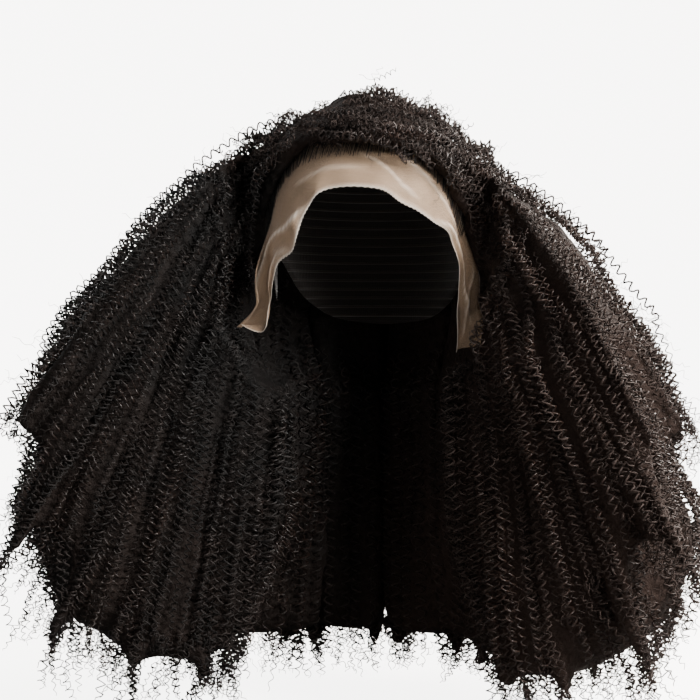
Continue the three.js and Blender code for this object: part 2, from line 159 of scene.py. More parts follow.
# Pleats in the lace: along and down at one end, the same at the other, height in metres, whiteness of the
# painted highlight along the crease
PLEATS = [
    (0.42, 0.98, 0.08, 0.20, 0.0032, 1.0),
    (0.30, 0.92, 0.13, 0.66, 0.0022, 0.8),
    (0.35, 0.55, 0.53, 0.72, 0.0012, 0.45),
    (0.50, 0.52, 0.66, 0.86, 0.0016, 0.5),
    (0.53, 0.34, 0.84, 0.72, 0.0018, 0.6),
    (0.70, 0.95, 0.97, 0.42, 0.0032, 1.0),
    (0.84, 0.30, 0.99, 0.66, 0.0020, 0.6),
]

# The cap's lower edge from the left ear tab to the middle of the nape: turn, share of the cap's depth
NAPE_EDGE = [(80, 0.87), (87, 0.82), (95, 0.66), (108, 0.7), (126, 0.85), (152, 0.97), (180, 1.0)]

# The hairline on the lace: turn, fall in metres
HAIRLINE = [(0, 0.038), (20, 0.039), (36, 0.046), (50, 0.063), (60, 0.09), (69, 0.118), (79, 0.136)]

# Sections of hair round the head: name, first turn, last turn
SECTIONS = [
    ("hair_left_temple", 0, 102),
    ("hair_left_side", 102, 141),
    ("hair_left_back", 141, 180),
    ("hair_right_back", 180, 219),
    ("hair_right_side", 219, 258),
    ("hair_right_temple", 258, 360),
]


# ---- Sizes and colours that a user would change


class StrandSettings(bpy.types.PropertyGroup):
    """The coiled strands and what lies under them"""

    coil_radius: bpy.props.FloatProperty(
        name="Coil Radius", description="Middle of a coil to its strand", default=0.0025, unit="LENGTH"
    )
    coil_pitch: bpy.props.FloatProperty(
        name="Coil Pitch", description="Length of one turn of a coil", default=0.0056, unit="LENGTH"
    )
    strand_radius: bpy.props.FloatProperty(
        name="Strand Radius",
        description="Half the thickness of one strand of hairs",
        default=0.00066,
        unit="LENGTH",
    )
    row_spacing: bpy.props.FloatProperty(
        name="Row Spacing",
        description="Between rows of coils on the body of the hair",
        default=0.0060,
        unit="LENGTH",
    )
    inner_spacing: bpy.props.FloatProperty(
        name="Inner Row Spacing",
        description="Between rows on the side towards the neck",
        default=0.0098,
        unit="LENGTH",
    )
    top_spacing: bpy.props.FloatProperty(
        name="Loose Row Spacing",
        description="Between the looser rows that lie over those",
        default=0.016,
        unit="LENGTH",
    )
    front_spacing: bpy.props.FloatProperty(
        name="Front Row Spacing",
        description="Between rows where the front is combed over",
        default=0.0050,
        unit="LENGTH",
    )
    mass_depth: bpy.props.FloatProperty(
        name="Mass Depth",
        description="Outer form to the dense hair under the coils",
        default=0.0095,
        unit="LENGTH",
    )
    clump_height: bpy.props.FloatProperty(
        name="Clump Height",
        description="How far locks of coils rise and sink",
        default=0.0085,
        unit="LENGTH",
    )
    tip_curls: bpy.props.IntProperty(
        name="Tip Curls", description="Fine curls at the ends of the hair", default=1150, min=0
    )
    front_curls: bpy.props.IntProperty(
        name="Front Curls", description="Small curls on the hair combed over the front", default=420, min=0
    )
    fly_aways: bpy.props.IntProperty(
        name="Fly-aways", description="Short single hairs that stand off the outline", default=650, min=0
    )
    root_colour: bpy.props.FloatVectorProperty(
        name="Root Colour",
        description="Hair near the head",
        subtype="COLOR",
        default=(0.0016, 0.0014, 0.0014),
    )
    # Brown of the outer ends, also reached where painted light falls: backlit ends, the wearer's left and
    # ridges of locks
    tip_colour: bpy.props.FloatVectorProperty(
        name="Tip Colour",
        description="Hair at the outer ends",
        subtype="COLOR",
        default=(0.025, 0.0142, 0.0105),
    )
    seed: bpy.props.IntProperty(name="Seed", description="Changes where strands lie", default=7)


class LaceSettings(bpy.types.PropertyGroup):
    """The sheer lace front"""

    thickness: bpy.props.FloatProperty(
        name="Thickness", description="Thickness of the lace mesh", default=0.00035, unit="LENGTH"
    )
    tooth: bpy.props.FloatProperty(
        name="Pinked Tooth",
        description="Depth of a tooth along the cut edge",
        default=0.0013,
        unit="LENGTH",
    )
    teeth: bpy.props.IntProperty(name="Teeth", description="Teeth along the cut edge", default=104, min=4)
    fold_height: bpy.props.FloatProperty(
        name="Fold Height", description="Height of the soft folds", default=0.0022, unit="LENGTH"
    )
    colour: bpy.props.FloatVectorProperty(
        name="Colour", description="Nude lace", subtype="COLOR", default=(0.64, 0.45, 0.30)
    )
    # Painted highlight along the folds and the cut edge
    fold_highlight_colour: bpy.props.FloatVectorProperty(
        name="Fold Colour",
        description="Lace where it folds over itself",
        subtype="COLOR",
        default=(0.93, 0.87, 0.79),
    )


class CapSettings(bpy.types.PropertyGroup):
    """The net cap that the hair is tied to"""

    weft_spacing: bpy.props.FloatProperty(
        name="Weft Spacing", description="Between the sewn rows of hair", default=0.0075, unit="LENGTH"
    )
    colour: bpy.props.FloatVectorProperty(
        name="Colour", description="Black net", subtype="COLOR", default=(0.011, 0.009, 0.008)
    )


class StageSettings(bpy.types.PropertyGroup):
    """Floor, lights and camera"""

    floor_gap: bpy.props.FloatProperty(
        name="Floor Gap", description="Lowest tips to the floor", default=0.035, unit="LENGTH"
    )
    backdrop: bpy.props.FloatVectorProperty(
        name="Backdrop", description="Pale paper", subtype="COLOR", default=(0.95, 0.93, 0.905)
    )
    key_power: bpy.props.FloatProperty(
        name="Key Power", description="Front light", default=38.0, unit="POWER"
    )
    rim_power: bpy.props.FloatProperty(
        name="Rim Power", description="Light from behind", default=32.0, unit="POWER"
    )
    camera_turn: bpy.props.FloatProperty(
        name="Camera Turn",
        description="Round the wearer's left of straight ahead",
        default=math.radians(8),
        unit="ROTATION",
    )
    camera_distance: bpy.props.FloatProperty(
        name="Camera Distance", description="Head's axis to the camera", default=0.986, unit="LENGTH"
    )


def settings(name):
    """The property group of that name, on the scene."""
    return getattr(bpy.context.scene, name)


# ---- Places on the head and ways that the hair runs


def ease(low, high, value):
    """0 before low and 1 after high, smoothly; low may be the larger."""
    share = min(1.0, max(0.0, (value - low) / (high - low)))
    return share * share * (3 - 2 * share)


def on_head(turn, fall, lift):
    """A place on the head, moved outwards by lift."""
    angle = math.radians(turn)
    depth = HEAD_FRONT if math.cos(angle) > 0 else HEAD_BACK
    radius = 1 / math.hypot(math.sin(angle) / HEAD_SIDE, math.cos(angle) / depth)
    above = fall < CROWN_HEIGHT
    share = (CROWN_HEIGHT - fall) / (CROWN_HEIGHT if above else JAW_TAPER)
    radius = (radius + lift) * math.sqrt(max(0.0, 1 - share * share))
    height = (CROWN_HEIGHT + lift) * share - CROWN_HEIGHT if above else -fall
    return Vector((radius * math.sin(angle), -radius * math.cos(angle), height))


def turn_of(place):
    """Turn of a place round the head, from -180 to 180."""
    return math.degrees(math.atan2(place.x, -place.y))


def above_head(place):
    """About how far a place lies outside the head, negative inside it."""
    if place.z < -LACE_DROP:
        return 1.0
    above = place.z > -CROWN_HEIGHT
    tall = CROWN_HEIGHT if above else JAW_TAPER
    depth = HEAD_FRONT if place.y < 0 else HEAD_BACK
    size = math.sqrt(
        (place.x / HEAD_SIDE) ** 2 + (place.y / depth) ** 2 + ((place.z + CROWN_HEIGHT) / tall) ** 2
    )
    return (size - 1) * HEAD_SIDE


def clear_of_head(place, gap):
    """The place, moved straight out where it would lie nearer to the head than gap."""
    short = gap - above_head(place)
    if short <= 0 or -place.z > CAP_DEPTH:
        return place
    return place + (place - HEAD_MIDDLE).normalized() * min(short, 0.02)


def front_share(place):
    """1 where the hair is combed over the front from the parting, 0 elsewhere."""
    near = ease(0.062, 0.034, -place.z) if place.y < 0 else 0.0
    return near * ease(78, 62, abs(turn_of(place))) * ease(0.03, -0.015, place.y)


def crown_source(place):
    """Where on the crown the hair at a place comes from."""
    return Vector((max(-0.045, min(0.045, 0.35 * place.x)), max(-0.06, min(0.03, place.y)), -0.01))


def clump(place):
    """Ridges and valleys along the locks, from -1 to 1."""
    away = place - crown_source(place)
    far = away.length
    combed = front_share(place)
    ridge = noise.noise(away * (13 / far) + Vector((0, 0, far * 2.2)))
    finer = noise.noise(away * (34 / far) + Vector((7, 0, far * 4)))
    across = noise.noise(Vector((place.z * 62, place.y * 40, turn_of(place) / 50)))
    return max(-1.0, min(1.0, (1.7 * ridge + 0.8 * finer) * (1 - combed) + 1.5 * across * combed))


def clump_lift(place):
    """How far a lock of coils rises or sinks at a place."""
    grown = 0.4 + 0.6 * ease(0.05, 0.16, (place - HAIR_MIDDLE).length)
    crown = 0.010 * ease(-0.012, 0.012, place.z)
    slope = 0.003 * ease(0.06, 0.11, place.x) * ease(-0.21, -0.16, place.z)
    return settings("wig_strands").clump_height * grown * (clump(place) - 0.35) - crown - slope


def hairline_fall(turn):
    """Fall of the lowest roots in front, at a turn to either side."""
    turns, falls = zip(*HAIRLINE)
    return float(np.interp(abs(turn), turns, falls))


def below_hairline(place, margin):
    """Whether a place near the head lies in front, lower than the hairline less a margin."""
    if abs(turn_of(place)) > 79 or above_head(place) > 0.02:
        return False
    return -place.z > hairline_fall(turn_of(place)) - margin


def bare(place):
    """Whether no row of coils lies here: against the cap, over the lace, or by its flaps."""
    by_flap = abs(turn_of(place)) < 88 and place.z < -0.135
    by_lace = abs(turn_of(place)) < 80 and place.z < -0.06
    clear = 0.012 if by_flap else 0.0045 if by_lace else 0.006 if place.z < -0.04 else 0.001
    return above_head(place) < clear or below_hairline(place, 0.003)


def hair_flow(place):
    """The way the hair runs: from the crown outwards and down, and in front away from the parting."""
    away = place - crown_source(place)
    away.z *= ease(0.0, -0.05, place.z)
    way = away.normalized() + Vector((0, 0, -0.12))
    way += Vector((0, 0, 1)).cross(way) * 0.28 * noise.noise(place * 15)
    combed = front_share(place)
    if combed > 0:
        turn = turn_of(place)
        side = math.tanh((turn - PARTING_TURN) / 6)
        angle = math.radians(turn)
        over = Vector((math.cos(angle) * side, math.sin(angle) * side, -0.22))
        way = way.normalized().lerp(over.normalized(), combed)
    return way.normalized()


def combed_over(place, normal):
    """Whether the hair at a place is combed over the front."""
    return front_share(place) > 0.5


def facing_in(place, normal):
    """Whether a place on the skin is on its inner side, towards the neck."""
    across = math.hypot(place.x, place.y) + 1e-6
    return not combed_over(place, normal) and (normal.x * place.x + normal.y * place.y) / across < -0.35


def facing_out(place, normal):
    """Whether a place on the skin is on its outer side or its front."""
    return not combed_over(place, normal) and not facing_in(place, normal)


def section_of(place):
    """The section of hair that a place belongs to."""
    if front_share(place) > 0.5 or (place.y < 0 and abs(turn_of(place)) < 60 and place.z > -0.06):
        return FRONT_NODE
    turn = turn_of(place) % 360
    return next(name for name, first, last in SECTIONS if first <= turn <= last)


def smooth_row(table, share):
    """A table read smoothly from its first row (share 0) to its last (1)."""
    place = share * (len(table) - 1)
    k = min(len(table) - 2, int(place))
    t = place - k
    a, b, c, d = (np.array(table[min(len(table) - 1, max(0, k + n))], float) for n in (-1, 0, 1, 2))
    return 0.5 * (
        2 * b + (c - a) * t + (2 * a - 5 * b + 4 * c - d) * t**2 + (3 * b - a - 3 * c + d) * t**3
    )


# ---- Meshes


def in_scene(name, data):
    """A new object of that name and data, linked to the scene."""
    obj = bpy.data.objects.new(name, data)
    bpy.context.scene.collection.objects.link(obj)
    return obj


def mesh_object(name, places, faces=(), edges=()):
    """A new mesh object of that name, linked to the scene."""
    mesh = bpy.data.meshes.new(name)
    mesh.from_pydata([tuple(p) for p in places], list(edges), list(faces))
    mesh.update()
    return in_scene(name, mesh)


def store(obj, name, values):
    """Keeps a number for each vertex on an object's mesh, under a name."""
    data = obj.data.attributes.new(name, "FLOAT", "POINT").data
    data.foreach_set("value", np.array(values, np.float32))


def baked(obj):
    """Turns an object's evaluated shape into its own plain mesh and drops its modifiers."""
    bpy.context.view_layer.update()
    evaluated = obj.evaluated_get(bpy.context.evaluated_depsgraph_get())
    mesh = bpy.data.meshes.new_from_object(evaluated)
    old = obj.data
    obj.modifiers.clear()
    obj.data = mesh
    mesh.name = obj.name
    bpy.data.meshes.remove(old)
    return obj


def smooth_shaded(obj):
    """The object with all its faces shaded smooth."""
    obj.data.polygons.foreach_set("use_smooth", [True] * len(obj.data.polygons))
    return obj


def merged_copy(nodes, name):
    """One object of the solids of some nodes, their loose triangles merged."""
    form = bmesh.new()
    for node in nodes:
        form.from_mesh(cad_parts[node].data)
    bmesh.ops.remove_doubles(form, verts=form.verts, dist=0.00002)
    mesh = bpy.data.meshes.new(name)
    form.to_mesh(mesh)
    form.free()
    return in_scene(name, mesh)


def remeshed(obj, voxel, rounds):
    """The object as an even skin of that voxel size, smoothed that many rounds."""
    remesh = obj.modifiers.new("skin", "REMESH")
    remesh.mode = "VOXEL"
    remesh.voxel_size = voxel
    return softened(obj, rounds)


def softened(obj, rounds):
    """The object with its surface smoothed that many rounds."""
    soften = obj.modifiers.new("soften", "SMOOTH")
    soften.factor = 0.5
    soften.iterations = rounds
    return baked(obj)


def spread_out(values, edges, rounds):
    """One row of values for each place of a mesh, averaged with its neighbours' that many rounds."""
    first, second = np.array(edges).T
    for _ in range(rounds):
        total, count = values.copy(), np.ones((len(values), 1))
        for a, b in ((first, second), (second, first)):
            np.add.at(total, a, values[b])
            np.add.at(count, a, 1)
        values = total / count
    return values


def short_of_outline(place):
    """How far a low end of the hair's form stays back from the full round outline."""
    down = (place.z - OUTLINE_MIDDLE) / OUTLINE_DROP
    size = ((place.x / OUTLINE_SIDE) ** 4 + down**4) ** 0.25
    return ease(-0.24, -0.32, place.z) * min(MOST_FILLED, 0.3 * max(0.0, 1 - size))


def filled(place, normal, share):
    """How a low end moves so that loose hair fills the gaps between locks."""
    flow = hair_flow(place)
    return flow * (share * short_of_outline(place) * ease(0.2, 0.65, flow.dot(normal)))


@functools.cache
def hair_skin():
    """The skin of all the hair together, as (search tree, places, faces)."""
    skin = remeshed(merged_copy(HAIR_NODES, "skin"), SKIN_VOXEL, 3)
    moves = [filled(v.co, v.normal, 0.8) for v in skin.data.vertices]
    for vertex, move in zip(skin.data.vertices, moves):
        vertex.co += move
    softened(skin, 2)
    places = [v.co.copy() for v in skin.data.vertices]
    faces = [tuple(p.vertices) for p in skin.data.polygons]
    bpy.data.objects.remove(skin)
    return BVHTree.FromPolygons(places, faces), places, faces


def scattered(count, rng):
    """Places spread evenly over the hair's skin, with their normals."""
    _, places, faces = hair_skin()
    corners = np.array([[places[i] for i in face[:3]] for face in faces])
    crosses = np.cross(corners[:, 1] - corners[:, 0], corners[:, 2] - corners[:, 0])
    areas = np.linalg.norm(crosses, axis=1)
    picked = rng.choice(len(faces), count, p=areas / areas.sum())
    u, v = rng.random((2, count, 1))
    fold = u + v > 1
    u, v = np.where(fold, 1 - u, u), np.where(fold, 1 - v, v)
    chosen = corners[picked]
    at = chosen[:, 0] + u * (chosen[:, 1] - chosen[:, 0]) + v * (chosen[:, 2] - chosen[:, 0])
    normals = crosses[picked] / areas[picked][:, None]
    return [(Vector(p), Vector(n)) for p, n in zip(at, normals)]


# ---- Rows of hair over the skin


class RowGrid:
    """Remembers where rows lie, so that they keep their distance."""

    def __init__(self, cell):
        self.cell = cell
        self.rows = {}

    def key(self, place):
        return tuple(math.floor(c / self.cell) for c in place)

    def add(self, place, row):
        self.rows.setdefault(self.key(place), []).append((place, row))

    def crowded(self, place, reach, row):
        i, j, k = self.key(place)
        for cell in ((i + a, j + b, k + c) for a in (-1, 0, 1) for b in (-1, 0, 1) for c in (-1, 0, 1)):
            for other, owner in self.rows.get(cell, ()):
                if owner != row and (other - place).length_squared < reach * reach:
                    return True
        return False


def follow(start, sense, grid, row, spacing, longest):
    """Places along the flow over the skin, one way, and whether the row ends in a free tip."""
    tree = hair_skin()[0]
    places, at, run, before = [], start.copy(), 0.0, None
    while run < longest:
        found, normal, _, _ = tree.find_nearest(at)
        if found is None or bare(found):
            return places, False
        flow = hair_flow(found)
        steep = flow.dot(normal)
        along = flow - normal * steep
        if abs(steep) > 0.88 or along.length < 0.2:
            return places, steep > 0
        along = along.normalized() * sense
        if before is not None and before.dot(along) < 0.1:
            return places, steep > 0.4
        if grid.crowded(found, 0.62 * spacing, row):
            return places, False
        places.append((found, normal.copy()))
        before = along
        at = found + along * STEP
        run += STEP
    return places, False


def traced_rows(spacing, tries, longest, rng, wanted):
    """Evenly spaced rows over the parts of the skin that wanted(place, normal) accepts."""
    grid = RowGrid(spacing)
    rows = []
    for start, facing in scattered(tries, rng):
        if not wanted(start, facing) or bare(start) or grid.crowded(start, spacing, -1):
            continue
        number = len(rows)
        reach = longest * rng.uniform(0.45, 1.0)
        onward, free = follow(start, 1, grid, number, spacing, reach)
        back, _ = follow(start, -1, grid, number, spacing, reach * 0.8)
        row = [*reversed(back[1:]), *onward]
        if len(row) < 7:
            continue
        for place, _ in row:
            grid.add(place, number)
        rows.append((row, free))
    return rows


def inside_box(place):
    """Whether a place keeps within the model's box and what hair may stand proud of it."""
    low, high = CAD_BOX
    return all(low[k] - PROUD < place[k] < high[k] + PROUD for k in range(3))


def free_tip(last, before, normal, rng):
    """Places past a row's end, where the hair hangs free."""
    way = (last - before).normalized()
    out = (way + normal * rng.uniform(0.1, 0.7) + hair_flow(last) * 0.6).normalized()
    turn = Vector(rng.normal(0, 0.25, 3))
    places = []
    at = last.copy()
    for _ in range(int(rng.integers(1, 6) + short_of_outline(last) / STEP)):
        out = (out + turn * 0.4 + Vector((0, 0, -0.08))).normalized()
        at = at + out * STEP
        if not inside_box(at):
            break
        places.append(at.copy())
    return places


class Guides:
    """Paths that strands coil round, with what each place on them needs."""

    def __init__(self):
        self.places, self.edges = [], []
        self.turns, self.coils, self.girths, self.shades, self.ridges = [], [], [], [], []

    def add(self, path, pitch, coil, girth, rng, shade=None, ends=(0.5, 0.35)):
        """Adds one strand; ends are its coil's and strand's size at first and last place, as shares."""
        if len(path) < 3:
            return
        steps = [0.0, *((b - a).length for a, b in zip(path, path[1:]))]
        run = np.cumsum(steps)
        share = run / run[-1]
        swell = np.minimum(1, ends[0] + (1 - ends[0]) * share / 0.12)
        taper = np.minimum(1, ends[1] + (1 - ends[1]) * (1 - share) / 0.2)
        hand = 1 if rng.random() < 0.5 else -1
        turns = rng.uniform(0, 6.28) + hand * 2 * math.pi * run / (pitch * rng.uniform(0.88, 1.14))
        first = len(self.places)
        self.places += [tuple(p) for p in path]
        self.edges += [(first + k, first + k + 1) for k in range(len(path) - 1)]
        self.turns += list(turns)
        self.coils += list(coil * swell * taper)
        self.girths += list(girth * np.minimum(swell, taper))
        # Each shade carries painted light and shade: backlit ends, the lit wearer's left, lit ridges and
        # shaded valleys
        self.shades += [strand_brown_and_painted_light(p, rng) if shade is None else shade for p in path]
        own = rng.uniform(-0.25, 0.25)
        self.ridges += [ease(-0.55, 0.75, clump(p) + own) for p in path]


def brown_and_painted_light(place):
    """How brown and how lit the hair is painted: 0 near the head, most at the outer ends as painted
    backlight, and more on the wearer's left as painted light from that side; hair combed over the front is
    browner.
    """
    # brown: painted light on the wearer's left side, and the brown of the hair combed over the front
    brown = max(0.12 + 0.88 * ease(-0.05, 0.10, place.x), front_share(place))
    return ease(0.12, 0.36, (place - HAIR_MIDDLE).length) * (0.2 + 0.8 * brown) + 0.7 * brown


def strand_brown_and_painted_light(place, rng):
    """The shade of a strand there, with painted light on the ridges of the locks and painted shade in
    their valleys.
    """
    return brown_and_painted_light(place) + 0.25 * clump(place) + rng.uniform(-0.08, 0.08)


def new_node(tree, kind, feeds=None, **options):
    """A node with its options, and each input in feeds given its value or linked to its output."""
    node = tree.nodes.new(kind)
    for name, value in options.items():
        setattr(node, name, value)
    for name, value in (feeds or {}).items():
        if isinstance(value, bpy.types.NodeSocket):
            tree.links.new(value, node.inputs[name])
        else:
            node.inputs[name].default_value = value
    return node


def maths(tree, operation, *values, clamp=False):
    """What a Math node makes of some values and outputs."""
    feeds = dict(enumerate(values))
    return new_node(tree, "ShaderNodeMath", feeds, operation=operation, use_clamp=clamp).outputs[0]


def strand_tree():
    """Geometry Nodes: each path becomes a coiled strand of even points."""
    if "coil strands" in bpy.data.node_groups:
        return bpy.data.node_groups["coil strands"]
    tree = bpy.data.node_groups.new("coil strands", "GeometryNodeTree")
    sockets = tree.interface
    sockets.new_socket("Paths", in_out="INPUT", socket_type="NodeSocketGeometry")
    spacing = sockets.new_socket("Point Spacing", in_out="INPUT", socket_type="NodeSocketFloat")
    spacing.default_value, spacing.subtype = 0.0014, "DISTANCE"
    sides = sockets.new_socket("Sides", in_out="INPUT", socket_type="NodeSocketInt")
    sides.default_value = 3
    sockets.new_socket("Finish", in_out="INPUT", socket_type="NodeSocketMaterial")
    sockets.new_socket("Strands", in_out="OUTPUT", socket_type="NodeSocketGeometry")
    entry, leave = tree.nodes.new("NodeGroupInput"), tree.nodes.new("NodeGroupOutput")

    def attribute(name):
        node = new_node(tree, "GeometryNodeInputNamedAttribute", {"Name": name}, data_type="FLOAT")
        return node.outputs["Attribute"]

    def vectors(operation, a, b):
        second = "Scale" if operation == "SCALE" else 1
        node = new_node(tree, "ShaderNodeVectorMath", {0: a, second: b}, operation=operation)
        return node.outputs["Vector"]

    paths = new_node(tree, "GeometryNodeMeshToCurve", {"Mesh": entry.outputs["Paths"]})
    feeds = {"Curve": paths.outputs["Curve"], "Length": entry.outputs["Point Spacing"]}
    even = new_node(tree, "GeometryNodeResampleCurve", feeds, mode="LENGTH")
    normal = new_node(tree, "GeometryNodeInputNormal").outputs["Normal"]
    tangent = new_node(tree, "GeometryNodeInputTangent").outputs["Tangent"]
    sideways = vectors("CROSS_PRODUCT", tangent, normal)
    turn, coil = attribute("turn_angle"), attribute("coil_radius")
    along = vectors("SCALE", normal, maths(tree, "MULTIPLY", maths(tree, "COSINE", turn), coil))
    across = vectors("SCALE", sideways, maths(tree, "MULTIPLY", maths(tree, "SINE", turn), coil))
    feeds = {"Geometry": even.outputs["Curve"], "Offset": vectors("ADD", along, across)}
    wound = new_node(tree, "GeometryNodeSetPosition", feeds)
    feeds = {"Radius": 1.0, "Resolution": entry.outputs["Sides"]}
    profile = new_node(tree, "GeometryNodeCurvePrimitiveCircle", feeds)
    feeds = {
        "Curve": wound.outputs["Geometry"],
        "Profile Curve": profile.outputs["Curve"],
        "Scale": attribute("girth"),
        "Fill Caps": True,
    }
    shape = new_node(tree, "GeometryNodeCurveToMesh", feeds).outputs["Mesh"]
    for name in ("turn_angle", "coil_radius", "girth"):
        feeds = {"Name": name, "Geometry": shape}
        shape = new_node(tree, "GeometryNodeRemoveAttribute", feeds).outputs["Geometry"]
    for kind in ("GeometryNodeSetShadeSmooth", "GeometryNodeRealizeInstances"):
        shape = new_node(tree, kind, {"Geometry": shape}).outputs["Geometry"]
    feeds = {"Geometry": shape, "Material": entry.outputs["Finish"]}
    finish = new_node(tree, "GeometryNodeSetMaterial", feeds)
    tree.links.new(finish.outputs["Geometry"], leave.inputs["Strands"])
    return tree


def strands(name, guides, finish, spacing):
    """A piece of coiled strands along its guides."""
    obj = mesh_object(name, guides.places, edges=guides.edges)
    columns = {
        "turn_angle": guides.turns,
        "coil_radius": guides.coils,
        "girth": guides.girths,
        "shade": guides.shades,
        "ridge": guides.ridges,
    }
    for attribute, values in columns.items():
        store(obj, attribute, values)
    tree = strand_tree()
    modifier = obj.modifiers.new("coils", "NODES")
    modifier.node_group = tree
    items = [item for item in tree.interface.items_tree if item.in_out == "INPUT"]
    inputs = {item.name: item.identifier for item in items}
    modifier[inputs["Point Spacing"]] = spacing
    modifier[inputs["Sides"]] = 3
    modifier[inputs["Finish"]] = finish
    baked(obj)
    if not len(obj.data.polygons):
        raise RuntimeError(f"{name} came out empty")
    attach(obj, BODY)
    return obj


# ---- Finishes


def shader_group(name, inputs, outputs):
    """A new shader node group: (tree, its input node, its output node)."""
    tree = bpy.data.node_groups.new(name, "ShaderNodeTree")
    for label, kind, value in inputs:
        socket = tree.interface.new_socket(label, in_out="INPUT", socket_type=kind)
        socket.default_value = value
    for label, kind in outputs:
        tree.interface.new_socket(label, in_out="OUTPUT", socket_type=kind)
    return tree, tree.nodes.new("NodeGroupInput"), tree.nodes.new("NodeGroupOutput")


def place_in(tree):
    """The place on the object, as an output in a shader's tree."""
    return new_node(tree, "ShaderNodeTexCoord").outputs["Object"]


def mesh_value(tree, name):
    """What the mesh keeps under a name, as an output in a shader's tree."""
    return new_node(tree, "ShaderNodeAttribute", attribute_name=name).outputs["Fac"]


def ranged(tree, value, feeds, **options):
    """What a Map Range node makes of a value."""
    feeds = {"Value": value, **feeds}
    return new_node(tree, "ShaderNodeMapRange", feeds, **options).outputs["Result"]


def mixed(tree, share, first, second):
    """The colour at a share of the way from the first to the second."""
    feeds = {"Factor": share, "A": first, "B": second}
    return new_node(tree, "ShaderNodeMix", feeds, data_type="RGBA").outputs["Result"]


def tone(colour, share=1.0):
    """A colour made darker or lighter, with its alpha."""
    return (*[min(1, c * share) for c in colour], 1)


@functools.cache
def strand_tint():
    """Colour of hair: from root to tip by the shade, which carries painted light and shade, with soft
    patches of difference.
    """
    tree, entry, leave = shader_group(
        "strand tint",
        [
            ("Root", "NodeSocketColor", (0, 0, 0, 1)),
            ("Tip", "NodeSocketColor", (0.1, 0.1, 0.1, 1)),
            ("Shade", "NodeSocketFloat", 0.0),
            ("Patchiness", "NodeSocketFloat", 0.3),
        ],
        [("Colour", "NodeSocketColor")],
    )
    said = entry.outputs
    patches = new_node(tree, "ShaderNodeTexNoise", {"Vector": place_in(tree), "Scale": 38, "Detail": 3})
    centred = maths(tree, "SUBTRACT", patches.outputs["Fac"], 0.5)
    spread = maths(tree, "MULTIPLY_ADD", centred, said["Patchiness"], said["Shade"], clamp=True)
    tree.links.new(mixed(tree, spread, said["Root"], said["Tip"]), leave.inputs["Colour"])
    return tree


@functools.cache
def hair_grain():
    """Height of single hairs along a strand, finer than the mesh."""
    tree, entry, leave = shader_group(
        "hair grain", [("Fineness", "NodeSocketFloat", 900.0)], [("Height", "NodeSocketFloat")]
    )
    feeds = {"Vector": place_in(tree), "Scale": entry.outputs["Fineness"], "Detail": 4}
    grain = new_node(tree, "ShaderNodeTexNoise", feeds)
    tree.links.new(grain.outputs["Fac"], leave.inputs["Height"])
    return tree


def new_material(name, roughness, specular=0.5, **constants):
    """A material with a Principled shader, and that shader's node."""
    material = bpy.data.materials.new(name)
    material.use_nodes = True
    shader = material.node_tree.nodes["Principled BSDF"]
    shader.inputs["Roughness"].default_value = roughness
    shader.inputs["Specular IOR Level"].default_value = specular
    for label, value in constants.items():
        shader.inputs[label.replace("_", " ")].default_value = value
    return material, shader


def grain_in(tree, fineness):
    """The height of single hairs, as an output in a material's tree."""
    node = new_node(tree, "ShaderNodeGroup", {"Fineness": fineness}, node_tree=hair_grain())
    return node.outputs["Height"]


def tinted(material, shader, root, tip, patchiness):
    """Colours hair by the shade kept on its mesh; root and tip are shares of the colours set."""
    sizes = settings("wig_strands")
    tree = material.node_tree
    feeds = {
        "Root": tone(sizes.root_colour, root),
        "Tip": tone(sizes.tip_colour, tip),
        "Patchiness": patchiness,
        "Shade": mesh_value(tree, "shade"),
    }
    tint = new_node(tree, "ShaderNodeGroup", feeds, node_tree=strand_tint())
    tree.links.new(tint.outputs["Colour"], shader.inputs["Base Color"])


def bumped(material, shader, height, distance, strength=1.0):
    """Feeds a height through a Bump node to the shader's normal."""
    tree = material.node_tree
    feeds = {"Height": height, "Distance": distance, "Strength": strength}
    bump = new_node(tree, "ShaderNodeBump", feeds)
    tree.links.new(bump.outputs["Normal"], shader.inputs["Normal"])


@functools.cache
def hair_finish(name, lighter=1.0, gloss=0.36):
    """Coiled hair: nearly black at the root, brown at the tips, glossy where locks stand up; its colour
    follows the painted light in the mesh's shade, and lighter adds painted backlight.
    """
    material, shader = new_material(name, gloss, 0.38)
    tree = material.node_tree
    gleam = ranged(tree, mesh_value(tree, "ridge"), {"To Min": VALLEY_ROUGHNESS, "To Max": gloss})
    tree.links.new(gleam, shader.inputs["Roughness"])
    # lighter raises root and tip alike as painted backlight
    tinted(material, shader, lighter, lighter, 0.9)
    bumped(material, shader, grain_in(tree, 1300.0), 0.0004, 0.6)
    return material


@functools.cache
def mass_finish():
    """The dense hair under the coils: crimped rows in relief, nearly black, painted darker than the coils
    as the shade between them.
    """
    material, shader = new_material("dense hair", 0.75, 0.2)
    tree = material.node_tree
    # Half the root colour and most of the tip colour: painted shade under the coils
    tinted(material, shader, 0.5, 0.85, 0.5)
    feeds = {"Vector": place_in(tree), "Scale": 170, "Randomness": 0.9}
    curls = new_node(tree, "ShaderNodeTexVoronoi", feeds, feature="SMOOTH_F1")
    total = maths(tree, "MULTIPLY_ADD", grain_in(tree, 700.0), 0.4, curls.outputs["Distance"])
    bumped(material, shader, total, 0.004)
    return material


# ---- Pieces of hair


def tuck_in(vertex):
    """Draws hair that hangs over the lace in front back up to the hairline."""
    turn = turn_of(vertex.co)
    over = -vertex.co.z - hairline_fall(turn) + 0.002
    near = ease(0.05, 0.03, above_head(vertex.co)) * ease(84, 74, abs(turn))
    if over > 0 and near > 0 and vertex.co.y < 0:
        vertex.co.z += near * min(over, 0.02)


